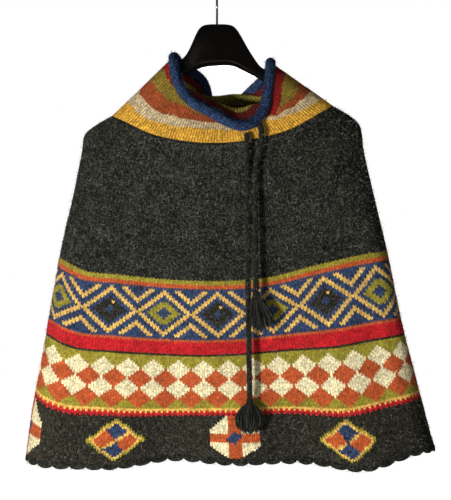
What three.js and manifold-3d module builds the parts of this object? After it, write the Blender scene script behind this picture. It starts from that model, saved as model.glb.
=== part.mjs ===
// A hand-knitted wool poncho with a striped collar, on the plain plastic hanger that carries it.
// Millimetres, +Z up. The front faces -Y and +X is the viewer's right.
// The origin is the inside top of the hanger's hook, where the whole thing hangs.
import * as THREE from 'three';
import { mergeVertices } from 'three/addons/utils/BufferGeometryUtils.js';
import Module from 'manifold-3d';

const solidTools = await Module();
solidTools.setup();

const seamGap = 0.3;             // air between pieces that meet
const clothThickness = 3;        // heavy wool knit
const bodyColumns = 112;
const bodyRows = 12;
const innerColumns = 56;         // the plain inside of each wall is coarser

// Body rings from the neck seam down to the hem. share is the part of the cloth's length above the ring.
// left and right are the outline, front and back the depth at the middle, endLeft and endRight how far the
// rounded sides reach in. The last eight columns are the ring's height at eight stations round it.
const bodyRings = [
  { share: 0.00, left: -178, right: 197, front: 58, back: 54, endLeft: 170, endRight: 170,
    f: -256, fr: -236, r: -189, br: -206, b: -226, bl: -216, l: -206, fl: -245 },
  { share: 0.09, left: -222, right: 241, front: 55, back: 52, endLeft: 150, endRight: 150,
    f: -303, fr: -281, r: -220, br: -262, b: -284, bl: -272, l: -235, fl: -292 },
  { share: 0.154, left: -230, right: 249, front: 52, back: 50, endLeft: 110, endRight: 105,
    f: -337, fr: -314, r: -263, br: -298, b: -322, bl: -308, l: -270, fl: -326 },
  { share: 0.27, left: -242, right: 264, front: 49, back: 49, endLeft: 80, endRight: 65,
    f: -399, fr: -373, r: -331, br: -364, b: -388, bl: -376, l: -335, fl: -388 },
  { share: 0.44, left: -267, right: 289, front: 46, back: 48, endLeft: 62, endRight: 42,
    f: -487, fr: -462, r: -437, br: -458, b: -476, bl: -468, l: -447, fl: -479 },
  { share: 0.68, left: -289, right: 318, front: 46, back: 49, endLeft: 58, endRight: 38,
    f: -611, fr: -597, r: -578, br: -594, b: -602, bl: -598, l: -583, fl: -607 },
  { share: 0.86, left: -308, right: 348, front: 50, back: 53, endLeft: 60, endRight: 42,
    f: -708, fr: -710, r: -686, br: -704, b: -704, bl: -702, l: -686, fl: -706 },
  { share: 1.00, left: -320, right: 368, front: 56, back: 59, endLeft: 62, endRight: 48,
    f: -779, fr: -786, r: -764, br: -782, b: -780, bl: -780, l: -777, fl: -786 },
];
const stations = ['f', 'fr', 'r', 'br', 'b', 'bl', 'l', 'fl'];

// Soft folds in the body. around is the share of a ring from the front middle towards the viewer's right,
// width is its reach in the same measure, from is the share of the length where it starts, out is its depth
// at the hem (a trough is negative) and lift is how far it raises the hem.
const bodyFolds = [
  { around: -0.205, width: 0.040, from: 0.05, out: 7, lift: -5 },
  { around: -0.140, width: 0.034, from: 0.50, out: 7, lift: -3 },
  { around: -0.068, width: 0.034, from: 0.55, out: -10, lift: 8 },
  { around: 0.010, width: 0.034, from: 0.45, out: 6, lift: -2 },
  { around: 0.075, width: 0.032, from: 0.55, out: -9, lift: 6 },
  { around: 0.146, width: 0.034, from: 0.20, out: 9, lift: -8 },
  { around: 0.205, width: 0.030, from: 0.60, out: -6, lift: 4 },
  { around: 0.310, width: 0.036, from: 0.45, out: 9, lift: -3 },
  { around: 0.375, width: 0.030, from: 0.35, out: -10, lift: 7 },
  { around: 0.440, width: 0.034, from: 0.30, out: 9, lift: -4 },
  { around: 0.505, width: 0.032, from: 0.40, out: -8, lift: 8 },
  { around: 0.570, width: 0.034, from: 0.25, out: 10, lift: -3 },
  { around: 0.640, width: 0.032, from: 0.45, out: -9, lift: 6 },
  { around: 0.700, width: 0.030, from: 0.55, out: 7, lift: -4 },
];
const hemLiftStart = 0.84;

// The collar's top edge, along the middle of its rolled rim, and the crest that the cloth passes on its way
// there: inside the rim where the collar tips outward, on the straight way to it where it stands.
// X is across, Y the depth and Z the height.
const neckEdge = [
  { around: -0.25, rimX: -73, rimY: 0, rimZ: -105, crestX: -100, crestY: 0, crestZ: -131 },
  { around: -0.215, rimX: -73, rimY: -20, rimZ: -119, crestX: -97, crestY: -19, crestZ: -144 },
  { around: -0.18, rimX: -66, rimY: -33, rimZ: -152, crestX: -72, crestY: -26, crestZ: -152 },
  { around: -0.11, rimX: -44, rimY: -47, rimZ: -184, crestX: -47, crestY: -26, crestZ: -161 },
  { around: -0.04, rimX: -6, rimY: -58, rimZ: -207, crestX: -8, crestY: -24, crestZ: -180 },
  { around: 0.02, rimX: 24, rimY: -65, rimZ: -224, crestX: 20, crestY: -22, crestZ: -190 },
  { around: 0.055, rimX: 42, rimY: -67, rimZ: -229, crestX: 38, crestY: -23, crestZ: -192 },
  { around: 0.09, rimX: 60, rimY: -60, rimZ: -222, crestX: 55, crestY: -25, crestZ: -187 },
  { around: 0.13, rimX: 79, rimY: -45, rimZ: -196, crestX: 78, crestY: -30, crestZ: -182 },
  { around: 0.165, rimX: 85, rimY: -36, rimZ: -166, crestX: 95, crestY: -34, crestZ: -176 },
  { around: 0.215, rimX: 90, rimY: -21, rimZ: -128, crestX: 115, crestY: -21, crestZ: -149 },
  { around: 0.25, rimX: 91, rimY: 0, rimZ: -115, crestX: 119, crestY: 0, crestZ: -134 },
  { around: 0.285, rimX: 89, rimY: 20, rimZ: -126, crestX: 114, crestY: 20, crestZ: -147 },
  { around: 0.34, rimX: 68, rimY: 44, rimZ: -150, crestX: 87, crestY: 42, crestZ: -163 },
  { around: 0.43, rimX: 28, rimY: 64, rimZ: -182, crestX: 28, crestY: 31, crestZ: -163 },
  { around: 0.54, rimX: -10, rimY: 66, rimZ: -185, crestX: -10, crestY: 31, crestZ: -166 },
  { around: 0.65, rimX: -26, rimY: 49, rimZ: -140, crestX: -51, crestY: 46, crestZ: -160 },
  { around: 0.715, rimX: -63, rimY: 24, rimZ: -114, crestX: -92, crestY: 22, crestZ: -142 },
];
const rimRadius = 8.2;
const rimSeat = rimRadius + 2 * seamGap;   // from the rim's middle to the cloth's edge
const rimClearance = 11.6;                  // and to the cloth that passes it
const crestRounding = 14;
const collarShares = [0, 0.25, 0.42, 0.54, 0.64, 0.74, 0.87, 1];   // where its rows lie, from the base
const ribCount = bodyColumns;
const ribDepth = 1.1;
const rimSteps = 56;
const rimSides = 8;

const edgingDrop = 5;            // plain part of the scalloped edging
const scallopDrop = 6;
const scallopCount = 56;
const scallopSteps = 4;

// The drawcord's two free ends, from the collar's outside to the tassels
const cordDiameter = 8;
const cordSides = 8;
const longCord = {
  steps: 24,
  route: [[50, -55.4, -242.2], [50, -63, -244.6], [50, -69, -250.6], [50, -71, -259], [50.1, -70.6, -270],
    [50.3, -69.4, -290], [50.6, -68.2, -320], [51, -67.4, -370], [51.4, -67.6, -430], [51.8, -68.4, -490],
    [52.4, -69.6, -550], [53.2, -71.2, -610], [54, -72.8, -655], [54.3, -73.5, -676]],
};
const shortCord = {
  steps: 18,
  route: [[71, -46.8, -224.2], [71.6, -55, -226.4], [73, -61, -232.6], [74, -64, -241], [74.2, -66, -252],
    [73, -67.6, -264], [69.6, -68.6, -277], [65.8, -69.2, -290], [64.2, -69.4, -308], [63.9, -69.4, -350],
    [63.9, -69.8, -400], [64, -70.6, -450], [64.4, -71.8, -480], [64.8, -72.4, -499]],
};

// Tassels: lean is how the bunch hangs off the vertical, spread its half width and depth at its widest
const tasselHead = { radius: 6, height: 12 };
const strandRadius = 1.7;
const tassels = [
  { name: 'tassel_long', cord: longCord, strands: 30, length: 56, lean: -1,
    spreadAcross: 24, spreadDepth: 16 },
  { name: 'tassel_short', cord: shortCord, strands: 22, length: 60, lean: 13,
    spreadAcross: 13, spreadDepth: 9 },
];

// The hanger along its length: top and bottom of its section, and half its depth
const hangerSections = [
  { across: -206, top: -238, bottom: -250, depth: 7 },
  { across: -200, top: -230, bottom: -252, depth: 11 },
  { across: -178, top: -213.5, bottom: -238, depth: 12 },
  { across: -128, top: -165, bottom: -194, depth: 11 },
  { across: -90, top: -129, bottom: -158, depth: 9 },
  { across: -73, top: -115.5, bottom: -143, depth: 8 },
  { across: -56, top: -108, bottom: -136, depth: 9 },
  { across: -45, top: -90, bottom: -131, depth: 10 },
  { across: -36, top: -66, bottom: -127, depth: 11 },
  { across: -28, top: -53, bottom: -124, depth: 12 },
  { across: -14, top: -50, bottom: -122, depth: 13 },
  { across: 16, top: -50, bottom: -120, depth: 13 },
  { across: 30, top: -53, bottom: -122, depth: 12 },
  { across: 40, top: -68, bottom: -127, depth: 11 },
  { across: 54, top: -94, bottom: -134, depth: 10 },
  { across: 74, top: -124, bottom: -144, depth: 9 },
  { across: 92, top: -130, bottom: -158, depth: 8 },
  { across: 120, top: -143, bottom: -172, depth: 9 },
  { across: 160, top: -170, bottom: -199, depth: 11 },
  { across: 197, top: -196, bottom: -222, depth: 12 },
  { across: 219, top: -213, bottom: -236, depth: 11 },
  { across: 226, top: -221, bottom: -234, depth: 7 },
];
const hangerSides = 12;
const hook = { wire: 3.6, sides: 8, radius: 20, stemBottom: -66, stemTop: -49, tipAngle: 200, steps: 30 };

const smoothstep = (from, to, x) => THREE.MathUtils.smoothstep(x, from, to);
const wrap = (turn) => turn - Math.round(turn);
const range = (count) => Array.from({ length: count }, (_, i) => i);

// Cubic reading of column values at x, between rows 1 and 2 of four
function hermite(values, places, x) {
  const width = places[2] - places[1];
  const slopeIn = (values[2] - values[0]) / (places[2] - places[0]) * width;
  const slopeOut = (values[3] - values[1]) / (places[3] - places[1]) * width;
  const t = (x - places[1]) / width;
  const blend = (3 - 2 * t) * t * t;
  const level = (1 - blend) * values[1] + blend * values[2];
  return level + ((t - 2) * t + 1) * t * slopeIn + (t - 1) * t * t * slopeOut;
}

function readOpen(rows, key, column, x) {
  let after = rows.findIndex((row, n) => n > 0 && x <= row[key]);
  if (after < 0) after = rows.length - 1;
  const last = rows.length - 1;
  const pick = [after - 2, after - 1, after, after + 1].map((n) => THREE.MathUtils.clamp(n, 0, last));
  const places = pick.map((n) => rows[n][key]);
  if (pick[0] === pick[1]) places[0] -= places[2] - places[1];
  if (pick[3] === pick[2]) places[3] += places[2] - places[1];
  return hermite(pick.map((n) => rows[n][column]), places, x);
}

function readClosed(rows, key, column, x) {
  const turn = x - Math.floor(x - rows[0][key]);
  const count = rows.length;
  let after = rows.findIndex((row) => row[key] > turn);
  if (after < 0) after = count;
  const pick = [after - 2, after - 1, after, after + 1];
  const values = pick.map((n) => rows[(n + count) % count][column]);
  const places = pick.map((n) => rows[(n + count) % count][key] + Math.floor(n / count));
  return hermite(values, places, turn);
}

// One half of a ring's plan, from the left side to the right side: two rounded ends and a straight middle
function halfPlan(ring, depth) {
  const steps = 24;
  const straight = ring.right - ring.endRight - ring.left - ring.endLeft;
  const points = [];
  for (let i = 0; i < steps; i++) {
    const angle = (i / steps) * (Math.PI / 2);
    points.push([ring.left + ring.endLeft * (1 - Math.cos(angle)), depth * Math.sin(angle)]);
  }
  for (let i = 0; i < steps; i++) points.push([ring.left + ring.endLeft + straight * (i / steps), depth]);
  for (let i = steps; i >= 0; i--) {
    const angle = (i / steps) * (Math.PI / 2);
    points.push([ring.right - ring.endRight * (1 - Math.cos(angle)), depth * Math.sin(angle)]);
  }
  const lengths = [0];
  for (let i = 1; i < points.length; i++) {
    const [x, y] = points[i];
    lengths.push(lengths[i - 1] + Math.hypot(x - points[i - 1][0], y - points[i - 1][1]));
  }
  return { points, lengths };
}

const ringCache = new Map();
function ringAt(share) {
  if (!ringCache.has(share)) {
    const ring = {};
    for (const column of ['left', 'right', 'front', 'back', 'endLeft', 'endRight', ...stations]) {
      ring[column] = readOpen(bodyRings, 'share', column, share);
    }
    ring.frontHalf = halfPlan(ring, -ring.front);
    ring.backHalf = halfPlan(ring, ring.back);
    ring.heights = stations.map((station, n) => ({ around: n / stations.length, height: ring[station] }));
    ringCache.set(share, ring);
  }
  return ringCache.get(share);
}

// A point of the body's outer face
function bodyPoint(share, around) {
  const ring = ringAt(share);
  const turn = wrap(around);
  const inFront = Math.abs(turn) <= 0.25;
  const { points, lengths } = inFront ? ring.frontHalf : ring.backHalf;
  const run = inFront ? (turn + 0.25) * 2 : (0.25 - wrap(around - 0.5)) * 2;
  const target = run * lengths.at(-1);
  let next = 1;
  while (next < lengths.length - 1 && lengths[next] < target) next++;
  const [x0, y0] = points[next - 1];
  const [x1, y1] = points[next];
  const step = lengths[next] - lengths[next - 1];
  const t = (target - lengths[next - 1]) / step;
  const side = inFront ? 1 : -1;
  let out = 0;
  let lift = 0;
  for (const fold of bodyFolds) {
    const near = Math.exp(-((wrap(around - fold.around) / fold.width) ** 2));
    out += fold.out * near * smoothstep(fold.from, 1.05, share);
    lift += fold.lift * near * smoothstep(hemLiftStart, 1, share);
  }
  return new THREE.Vector3(
    x0 + (x1 - x0) * t + side * ((y1 - y0) / step) * out,
    y0 + (y1 - y0) * t - side * ((x1 - x0) / step) * out,
    readClosed(ring.heights, 'around', 'height', around) + lift,
  );
}

const edgePoint = (around, columns) => new THREE.Vector3(
  ...columns.map((column) => readClosed(neckEdge, 'around', column, around)));
const rimPoint = (around) => edgePoint(around, ['rimX', 'rimY', 'rimZ']);
const crestPoint = (around) => edgePoint(around, ['crestX', 'crestY', 'crestZ']);

const rimLoop = range(rimSteps).map((n) => rimPoint(n / rimSteps));

// The point of the rim's middle line that lies nearest to a place
function nearestOnRim(place) {
  let best = rimLoop[0];
  rimLoop.forEach((from, n) => {
    const edge = new THREE.Line3(from, rimLoop[(n + 1) % rimSteps]);
    const near = edge.closestPointToPoint(place, true, new THREE.Vector3());
    if (near.distanceTo(place) < best.distanceTo(place)) best = near;
  });
  return best;
}

// The collar's run from its base over its crest to just short of its rim
function collarProfile(base, around) {
  const rim = rimPoint(around);
  const crest = crestPoint(around);
  const rounding = Math.min(crestRounding, 0.45 * crest.distanceTo(base), 0.9 * crest.distanceTo(rim));
  const turnIn = base.clone().sub(crest).setLength(rounding).add(crest);
  const turnOut = rim.clone().sub(crest).setLength(rounding).add(crest);
  const path = new THREE.CurvePath();
  path.add(new THREE.LineCurve3(base, turnIn));
  path.add(new THREE.QuadraticBezierCurve3(turnIn, crest, turnOut));
  path.add(new THREE.LineCurve3(turnOut, rim));
  const points = path.getSpacedPoints(60);
  while (points.length > 2 && points.at(-1).distanceTo(nearestOnRim(points.at(-1))) < rimSeat) points.pop();
  for (const point of points.slice(0, -1)) {
    const near = nearestOnRim(point);
    if (point.distanceTo(near) < rimClearance) point.sub(near).setLength(rimClearance).add(near);
  }
  return points;
}

// A point at a share of a polyline's length
function pointAlong(points, share) {
  const lengths = [0];
  for (let i = 1; i < points.length; i++) lengths.push(lengths[i - 1] + points[i].distanceTo(points[i - 1]));
  const target = share * lengths.at(-1);
  let next = 1;
  while (next < lengths.length - 1 && lengths[next] < target) next++;
  const t = (target - lengths[next - 1]) / (lengths[next] - lengths[next - 1]);
  return points[next - 1].clone().lerp(points[next], t);
}

// Outward unit normals of a grid of closed rings, listed from the top ring down
function gridNormals(grid) {
  return grid.map((ring, r) => ring.map((_, c) => {
    const along = ring[(c + 1) % ring.length].clone().sub(ring[(c + ring.length - 1) % ring.length]);
    const up = grid[Math.max(r - 1, 0)][c].clone().sub(grid[Math.min(r + 1, grid.length - 1)][c]);
    return along.cross(up).normalize();
  }));
}

function movedAlong(grid, normals, distance) {
  return grid.map((ring, r) => ring.map((p, c) => p.clone().addScaledVector(normals[r][c], distance)));
}

// A ring read at a multiple of its columns, along its straight edges
function refined(ring, columns) {
  const ratio = columns / ring.length;
  return range(columns).map((c) => {
    const from = Math.floor(c / ratio);
    return ring[from].clone().lerp(ring[(from + 1) % ring.length], c / ratio - from);
  });
}

const everyNth = (ring, columns) => ring.filter((_, c) => c % (ring.length / columns) === 0);

function meshGeometry(positions, index) {
  const geometry = new THREE.BufferGeometry();
  geometry.setAttribute('position', new THREE.Float32BufferAttribute(positions, 3));
  geometry.setIndex(index);
  geometry.computeVertexNormals();
  return geometry;
}

function addPoints(positions, points) {
  return points.map((p) => positions.push(p.x, p.y, p.z) / 3 - 1);
}

// Faces between two rings of the same count, with the outside seen when upper lies above lower
function band(index, upper, lower) {
  for (let c = 0; c < upper.length; c++) {
    const d = (c + 1) % upper.length;
    index.push(upper[c], lower[c], lower[d], upper[c], lower[d], upper[d]);
  }
}

// A closed cloth wall between an outer grid and an inner grid whose columns divide the outer one's
function wallGeometry(outerGrid, innerGrid) {
  const positions = [];
  const index = [];
  const outer = outerGrid.map((ring) => addPoints(positions, ring));
  const inner = innerGrid.map((ring) => addPoints(positions, ring));
  for (let r = 1; r < outer.length; r++) band(index, outer[r - 1], outer[r]);
  for (let r = 1; r < inner.length; r++) band(index, inner[r], inner[r - 1]);
  const ratio = outer[0].length / inner[0].length;
  const turn = Math.max(1, Math.floor(ratio / 2));
  const ends = [[outer[0], inner[0], true], [outer.at(-1), inner.at(-1), false]];
  for (const [outerRing, innerRing, top] of ends) {
    const put = (a, b, c) => index.push(...(top ? [a, b, c] : [b, a, c]));
    for (let c = 0; c < innerRing.length; c++) {
      const next = innerRing[(c + 1) % innerRing.length];
      const at = (k) => outerRing[(c * ratio + k) % outerRing.length];
      for (let k = 0; k < ratio; k++) put(at(k), at(k + 1), k < turn ? innerRing[c] : next);
      put(innerRing[c], at(turn), next);
    }
  }
  return meshGeometry(positions, index);
}

// A closed solid through sections, each a ring of points, with flat ends
function loftGeometry(sections) {
  const positions = [];
  const index = [];
  const rings = sections.map((section) => addPoints(positions, section));
  for (let r = 1; r < rings.length; r++) band(index, rings[r - 1], rings[r]);
  const first = rings[0];
  const last = rings.at(-1);
  for (let c = 1; c + 1 < first.length; c++) {
    index.push(first[0], first[c], first[c + 1], last[0], last[c + 1], last[c]);
  }
  return meshGeometry(positions, index);
}

// A solid tube round a closed loop
function loopTubeGeometry(loop, radius, sides) {
  const positions = [];
  const index = [];
  const centre = loop.reduce((sum, p) => sum.add(p), new THREE.Vector3()).divideScalar(loop.length);
  const rings = loop.map((p, n) => {
    const before = loop[(n + loop.length - 1) % loop.length];
    const along = loop[(n + 1) % loop.length].clone().sub(before).normalize();
    const outward = p.clone().sub(centre);
    outward.addScaledVector(along, -outward.dot(along)).normalize();
    const upward = along.clone().cross(outward).negate();
    return addPoints(positions, range(sides).map((s) => {
      const angle = (s / sides) * Math.PI * 2;
      const point = p.clone().addScaledVector(outward, radius * Math.cos(angle));
      return point.addScaledVector(upward, radius * Math.sin(angle));
    }));
  });
  rings.forEach((ring, n) => band(index, ring, rings[(n + 1) % rings.length]));
  return meshGeometry(positions, index);
}

// A rod or cord along a route of hand-set points
function tubeGeometry(route, diameter, sides, steps) {
  const points = range(sides).map((s) => {
    const angle = (s / sides) * Math.PI * 2;
    return new THREE.Vector2(Math.cos(angle), Math.sin(angle)).multiplyScalar(diameter / 2);
  });
  const path = new THREE.CatmullRomCurve3(route, false, 'centripetal');
  const settings = { steps, bevelEnabled: false, extrudePath: path };
  return new THREE.ExtrudeGeometry(new THREE.Shape(points), settings);
}

function toSolid(geometry) {
  const bare = geometry.clone();
  bare.deleteAttribute('normal');
  bare.deleteAttribute('uv');
  const merged = mergeVertices(bare);
  return new solidTools.Manifold(new solidTools.Mesh({
    numProp: 3,
    vertProperties: new Float32Array(merged.attributes.position.array),
    triVerts: new Uint32Array(merged.index.array),
  }));
}

function fromSolid(solid) {
  const mesh = solid.getMesh();
  return meshGeometry([...mesh.vertProperties], [...mesh.triVerts]);
}

const bodyOuter = range(bodyRows + 1).map((r) => {
  const share = (r / bodyRows) ** 1.15;
  return range(bodyColumns).map((c) => bodyPoint(share, c / bodyColumns));
});
const bodyInner = movedAlong(bodyOuter, gridNormals(bodyOuter), -clothThickness)
  .map((ring) => everyNth(ring, innerColumns));

// The small step across a seam, along the body's cloth
const acrossSeam = (edge, inside) => edge.map((p, c) => p.clone().sub(inside[c]).setLength(seamGap));
const neckStep = acrossSeam(bodyOuter[0], bodyOuter[1]);
const hemStep = acrossSeam(bodyOuter.at(-1), bodyOuter.at(-2));
const stepped = (ring, step) => ring.map((p, c) => p.clone().add(step[c]));

function collarGeometry() {
  const lay = (base) => {
    const profiles = base.map((p, c) => collarProfile(p, c / base.length));
    return collarShares.map((share) => profiles.map((profile) => pointAlong(profile, share))).reverse();
  };
  const outer = lay(stepped(refined(bodyOuter[0], ribCount * 2), refined(neckStep, ribCount * 2)));
  const outerNormals = gridNormals(outer);
  const ribbed = outer.map((ring, r) => ring.map((p, c) => {
    const furrow = c % 2 && ring !== outer.at(-1) ? ribDepth : 0;
    return p.clone().addScaledVector(outerNormals[r][c], -furrow);
  }));
  const plain = outer.map((ring) => everyNth(ring, innerColumns));
  const inner = movedAlong(plain, gridNormals(plain), -clothThickness);
  inner[inner.length - 1] = stepped(bodyInner[0], everyNth(neckStep, innerColumns));
  return wallGeometry(ribbed, inner);
}

function edgingGeometry() {
  const columns = scallopCount * scallopSteps;
  const outerStep = refined(hemStep, columns);
  const innerStep = everyNth(hemStep, innerColumns);
  const top = stepped(refined(bodyOuter.at(-1), columns), outerStep);
  const bottom = top.map((p, c) => {
    const lobe = Math.sqrt(Math.abs(Math.sin((Math.PI * c) / scallopSteps)));
    return p.clone().addScaledVector(outerStep[c], (edgingDrop + scallopDrop * lobe) / seamGap);
  });
  const innerTop = stepped(bodyInner.at(-1), innerStep);
  const innerBottom = innerTop.map((p, c) => p.clone().addScaledVector(innerStep[c], edgingDrop / seamGap));
  return wallGeometry([top, bottom], [innerTop, innerBottom]);
}

function rimGeometry() {
  return loopTubeGeometry(rimLoop, rimRadius, rimSides);
}

function cordGeometry({ route, steps }) {
  return tubeGeometry(route.map((p) => new THREE.Vector3(...p)), cordDiameter, cordSides, steps);
}

// A ring of points round a centre, in the level plane, turning so that lofts run downward
function levelRing(centre, radiusAcross, radiusDepth, sides, turn = 0) {
  return range(sides).map((s) => {
    const angle = (s / sides) * Math.PI * 2 + turn;
    const across = radiusAcross * Math.cos(angle);
    return new THREE.Vector3(centre.x + across, centre.y + radiusDepth * Math.sin(angle), centre.z);
  });
}

function tasselGeometry({ cord, strands, length, lean, spreadAcross, spreadDepth }) {
  const top = new THREE.Vector3(...cord.route.at(-1));
  top.z -= seamGap;
  const swell = [[0, 0.62], [0.3, 1], [0.75, 1], [1, 0.55]];
  const head = loftGeometry(swell.map(([down, wide]) => {
    const centre = top.clone().setZ(top.z - down * tasselHead.height);
    return levelRing(centre, tasselHead.radius * wide, tasselHead.radius * wide, 8);
  }));
  let solid = toSolid(head);
  const goldenTurn = Math.PI * (3 - Math.sqrt(5));
  const root = top.clone().setZ(top.z - tasselHead.height * 0.6);
  for (let n = 0; n < strands; n++) {
    const reach = Math.sqrt((n + 0.5) / strands);
    const angle = n * goldenTurn;
    const drop = length * (1 - 0.22 * reach * reach);
    const path = [[0, 0.12], [0.25, 0.62], [0.62, 1], [1, 0.86]].map(([down, wide]) => new THREE.Vector3(
      root.x + lean * down + reach * wide * spreadAcross * Math.cos(angle),
      root.y + reach * wide * spreadDepth * Math.sin(angle),
      root.z - down * drop,
    ));
    const strand = loftGeometry(path.map((p) => levelRing(p, strandRadius, strandRadius, 3, angle)));
    solid = solid.add(toSolid(strand));
  }
  return fromSolid(solid);
}

function hangerGeometry() {
  const sections = hangerSections.map(({ across, top, bottom, depth }) => range(hangerSides).map((s) => {
    const angle = -(s / hangerSides) * Math.PI * 2;
    const round = (value) => Math.sign(value) * Math.abs(value) ** 0.8;
    const height = (top + bottom) / 2 + ((top - bottom) / 2) * round(Math.sin(angle));
    return new THREE.Vector3(across, depth * round(Math.cos(angle)), height);
  }));
  const boreRadius = hook.wire / 2 + 2 * seamGap;
  const bore = new THREE.CylinderGeometry(boreRadius, boreRadius, 40, hook.sides);
  bore.rotateX(Math.PI / 2);
  bore.translate(0, 0, hook.stemBottom - seamGap + 20);
  return fromSolid(toSolid(loftGeometry(sections)).subtract(toSolid(bore)));
}

function hookGeometry() {
  const ring = hook.radius + hook.wire / 2;
  const route = range(4).map((n) => {
    return new THREE.Vector3(0, 0, THREE.MathUtils.lerp(hook.stemBottom, hook.stemTop, n / 3));
  });
  for (let degrees = -55; degrees <= hook.tipAngle; degrees += 15) {
    const angle = THREE.MathUtils.degToRad(degrees);
    route.push(new THREE.Vector3(0, ring * Math.cos(angle), -hook.radius + ring * Math.sin(angle)));
  }
  return tubeGeometry(route, hook.wire, hook.sides, hook.steps);
}

const poncho = new THREE.Group();
function add(name, geometry, color, roughness, metalness = 0) {
  const mesh = new THREE.Mesh(geometry, new THREE.MeshStandardMaterial({ color, roughness, metalness }));
  mesh.name = name;
  poncho.add(mesh);
}

const charcoal = 0x32332c;
add('body', wallGeometry(bodyOuter, bodyInner), charcoal, 1);
add('hem_edging', edgingGeometry(), charcoal, 1);
add('collar', collarGeometry(), 0xb78a35, 1);
add('collar_rim', rimGeometry(), 0x2f456b, 1);
add('drawcord_long', cordGeometry(longCord), 0x40382b, 1);
add('drawcord_short', cordGeometry(shortCord), 0x40382b, 1);
for (const tassel of tassels) add(tassel.name, tasselGeometry(tassel), 0x29281f, 1);
add('hanger', hangerGeometry(), 0x080704, 0.25);
add('hanger_hook', hookGeometry(), 0xb8b8b4, 0.25, 1);

export default poncho;
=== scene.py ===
# A hand-knitted wool poncho on the plain black hanger that carries it.
# Sizes here are in millimetres and turn into metres where a mesh is made. The front faces -Y.
# around is a place on a ring, 0 in the front middle and growing towards the viewer's right.
# share is how far along a piece a place lies, from 0 to 1.
import math
import bpy
import numpy as np
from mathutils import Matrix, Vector


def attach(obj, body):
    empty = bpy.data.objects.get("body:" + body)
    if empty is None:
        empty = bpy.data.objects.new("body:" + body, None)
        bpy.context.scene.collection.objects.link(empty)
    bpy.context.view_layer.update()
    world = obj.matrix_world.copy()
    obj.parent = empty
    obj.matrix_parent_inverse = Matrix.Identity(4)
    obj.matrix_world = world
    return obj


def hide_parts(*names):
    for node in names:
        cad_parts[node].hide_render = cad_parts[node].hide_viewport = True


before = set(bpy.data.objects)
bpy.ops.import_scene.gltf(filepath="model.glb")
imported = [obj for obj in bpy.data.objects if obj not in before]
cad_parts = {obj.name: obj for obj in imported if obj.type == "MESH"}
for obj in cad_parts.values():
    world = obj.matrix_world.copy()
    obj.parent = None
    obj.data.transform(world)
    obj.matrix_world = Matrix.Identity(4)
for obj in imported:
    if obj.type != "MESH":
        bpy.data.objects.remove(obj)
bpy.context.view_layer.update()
mm = 0.001
print("frame loaded")

camera = {
    "look": (14.5, -433.5),       # across and height at the middle of the view
    "distance": 2300,
    "viewHeight": 850,            # how much height fits the view where the cloth hangs
    "sensor": 24,
}

lights = {
    "key": {"at": (-1000, -1900, -750), "size": 240, "power": 58, "colour": (1.0, 0.96, 0.91)},
    "fill": {"at": (1000, -2150, -900), "size": 420, "power": 6, "colour": (1.0, 0.97, 0.93)},
    "back": {"at": (250, 2600, -500), "size": 1400, "power": 70, "colour": (1.0, 0.98, 0.96)},
    "world": 0.08,
    "aim": (14.5, 0, -433),
}


def makeCamera():
    data = bpy.data.cameras.new("camera")
    data.sensor_fit = "VERTICAL"
    data.sensor_height = camera["sensor"]
    data.lens = camera["sensor"] * camera["distance"] / camera["viewHeight"]
    data.clip_end = 20
    view = bpy.data.objects.new("camera", data)
    across, height = camera["look"]
    view.location = (across * mm, -camera["distance"] * mm, height * mm)
    view.rotation_euler = (math.radians(90), 0, 0)
    bpy.context.scene.collection.objects.link(view)
    bpy.context.scene.camera = view


makeCamera()
print("camera placed")


def srgb(red, green, blue):
    tone = np.array([red, green, blue]) / 255
    return tuple(np.where(tone <= 0.04045, tone / 12.92, ((tone + 0.055) / 1.055) ** 2.4))


# The yarns, as they look in plain light
yarns = {
    "charcoal": srgb(40, 41, 36),
    "navy": srgb(40, 62, 98),
    "lattice": srgb(222, 182, 98),
    "olive": srgb(152, 142, 48),
    "rust": srgb(188, 86, 44),
    "red": srgb(190, 22, 36),
    "cream": srgb(236, 226, 184),
    "mustard": srgb(232, 178, 66),
    "pale": srgb(212, 192, 152),
    "collarRust": srgb(160, 76, 40),
    "collarOlive": srgb(140, 120, 44),
    "collarRed": srgb(138, 18, 24),
    # a lit copy of the collar's olive for the inside: painted light that offsets the inside's painted shade
    "insideOlive": srgb(204, 192, 84),
    "cordGrey": srgb(24, 25, 22),
    "darkGrey": srgb(31, 32, 28),   # the same wool within the patterns
    "edgeYellow": srgb(232, 190, 96),
}
yarnNames = list(yarns)
yarnColours = np.array([yarns[name] for name in yarnNames])
yarnCode = {name: n for n, name in enumerate(yarnNames)}
heather = np.array([0.30 if name in ("charcoal", "darkGrey") else 0.11 for name in yarnNames])


# Shader groups

def newGroup(name, inputs, outputs):
    group = bpy.data.node_groups.new(name, "ShaderNodeTree")
    for label, kind, value in inputs:
        socket = group.interface.new_socket(name=label, in_out="INPUT", socket_type=kind)
        socket.default_value = value
    for label, kind in outputs:
        group.interface.new_socket(name=label, in_out="OUTPUT", socket_type=kind)
    return group, group.nodes.new("NodeGroupInput"), group.nodes.new("NodeGroupOutput")


def addNode(tree, kind, settings=None, **inputs):
    node = tree.nodes.new(kind)
    for key, value in (settings or {}).items():
        setattr(node, key, value)
    for key, value in inputs.items():
        numbered = key[0] == "i" and key[1:].isdigit()   # i0 and i1 are sockets by number
        socket = node.inputs[int(key[1:]) if numbered else key.replace("_", " ")]
        if isinstance(value, bpy.types.NodeSocket):
            tree.links.new(value, socket)
        else:
            socket.default_value = value
    return node


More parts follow.
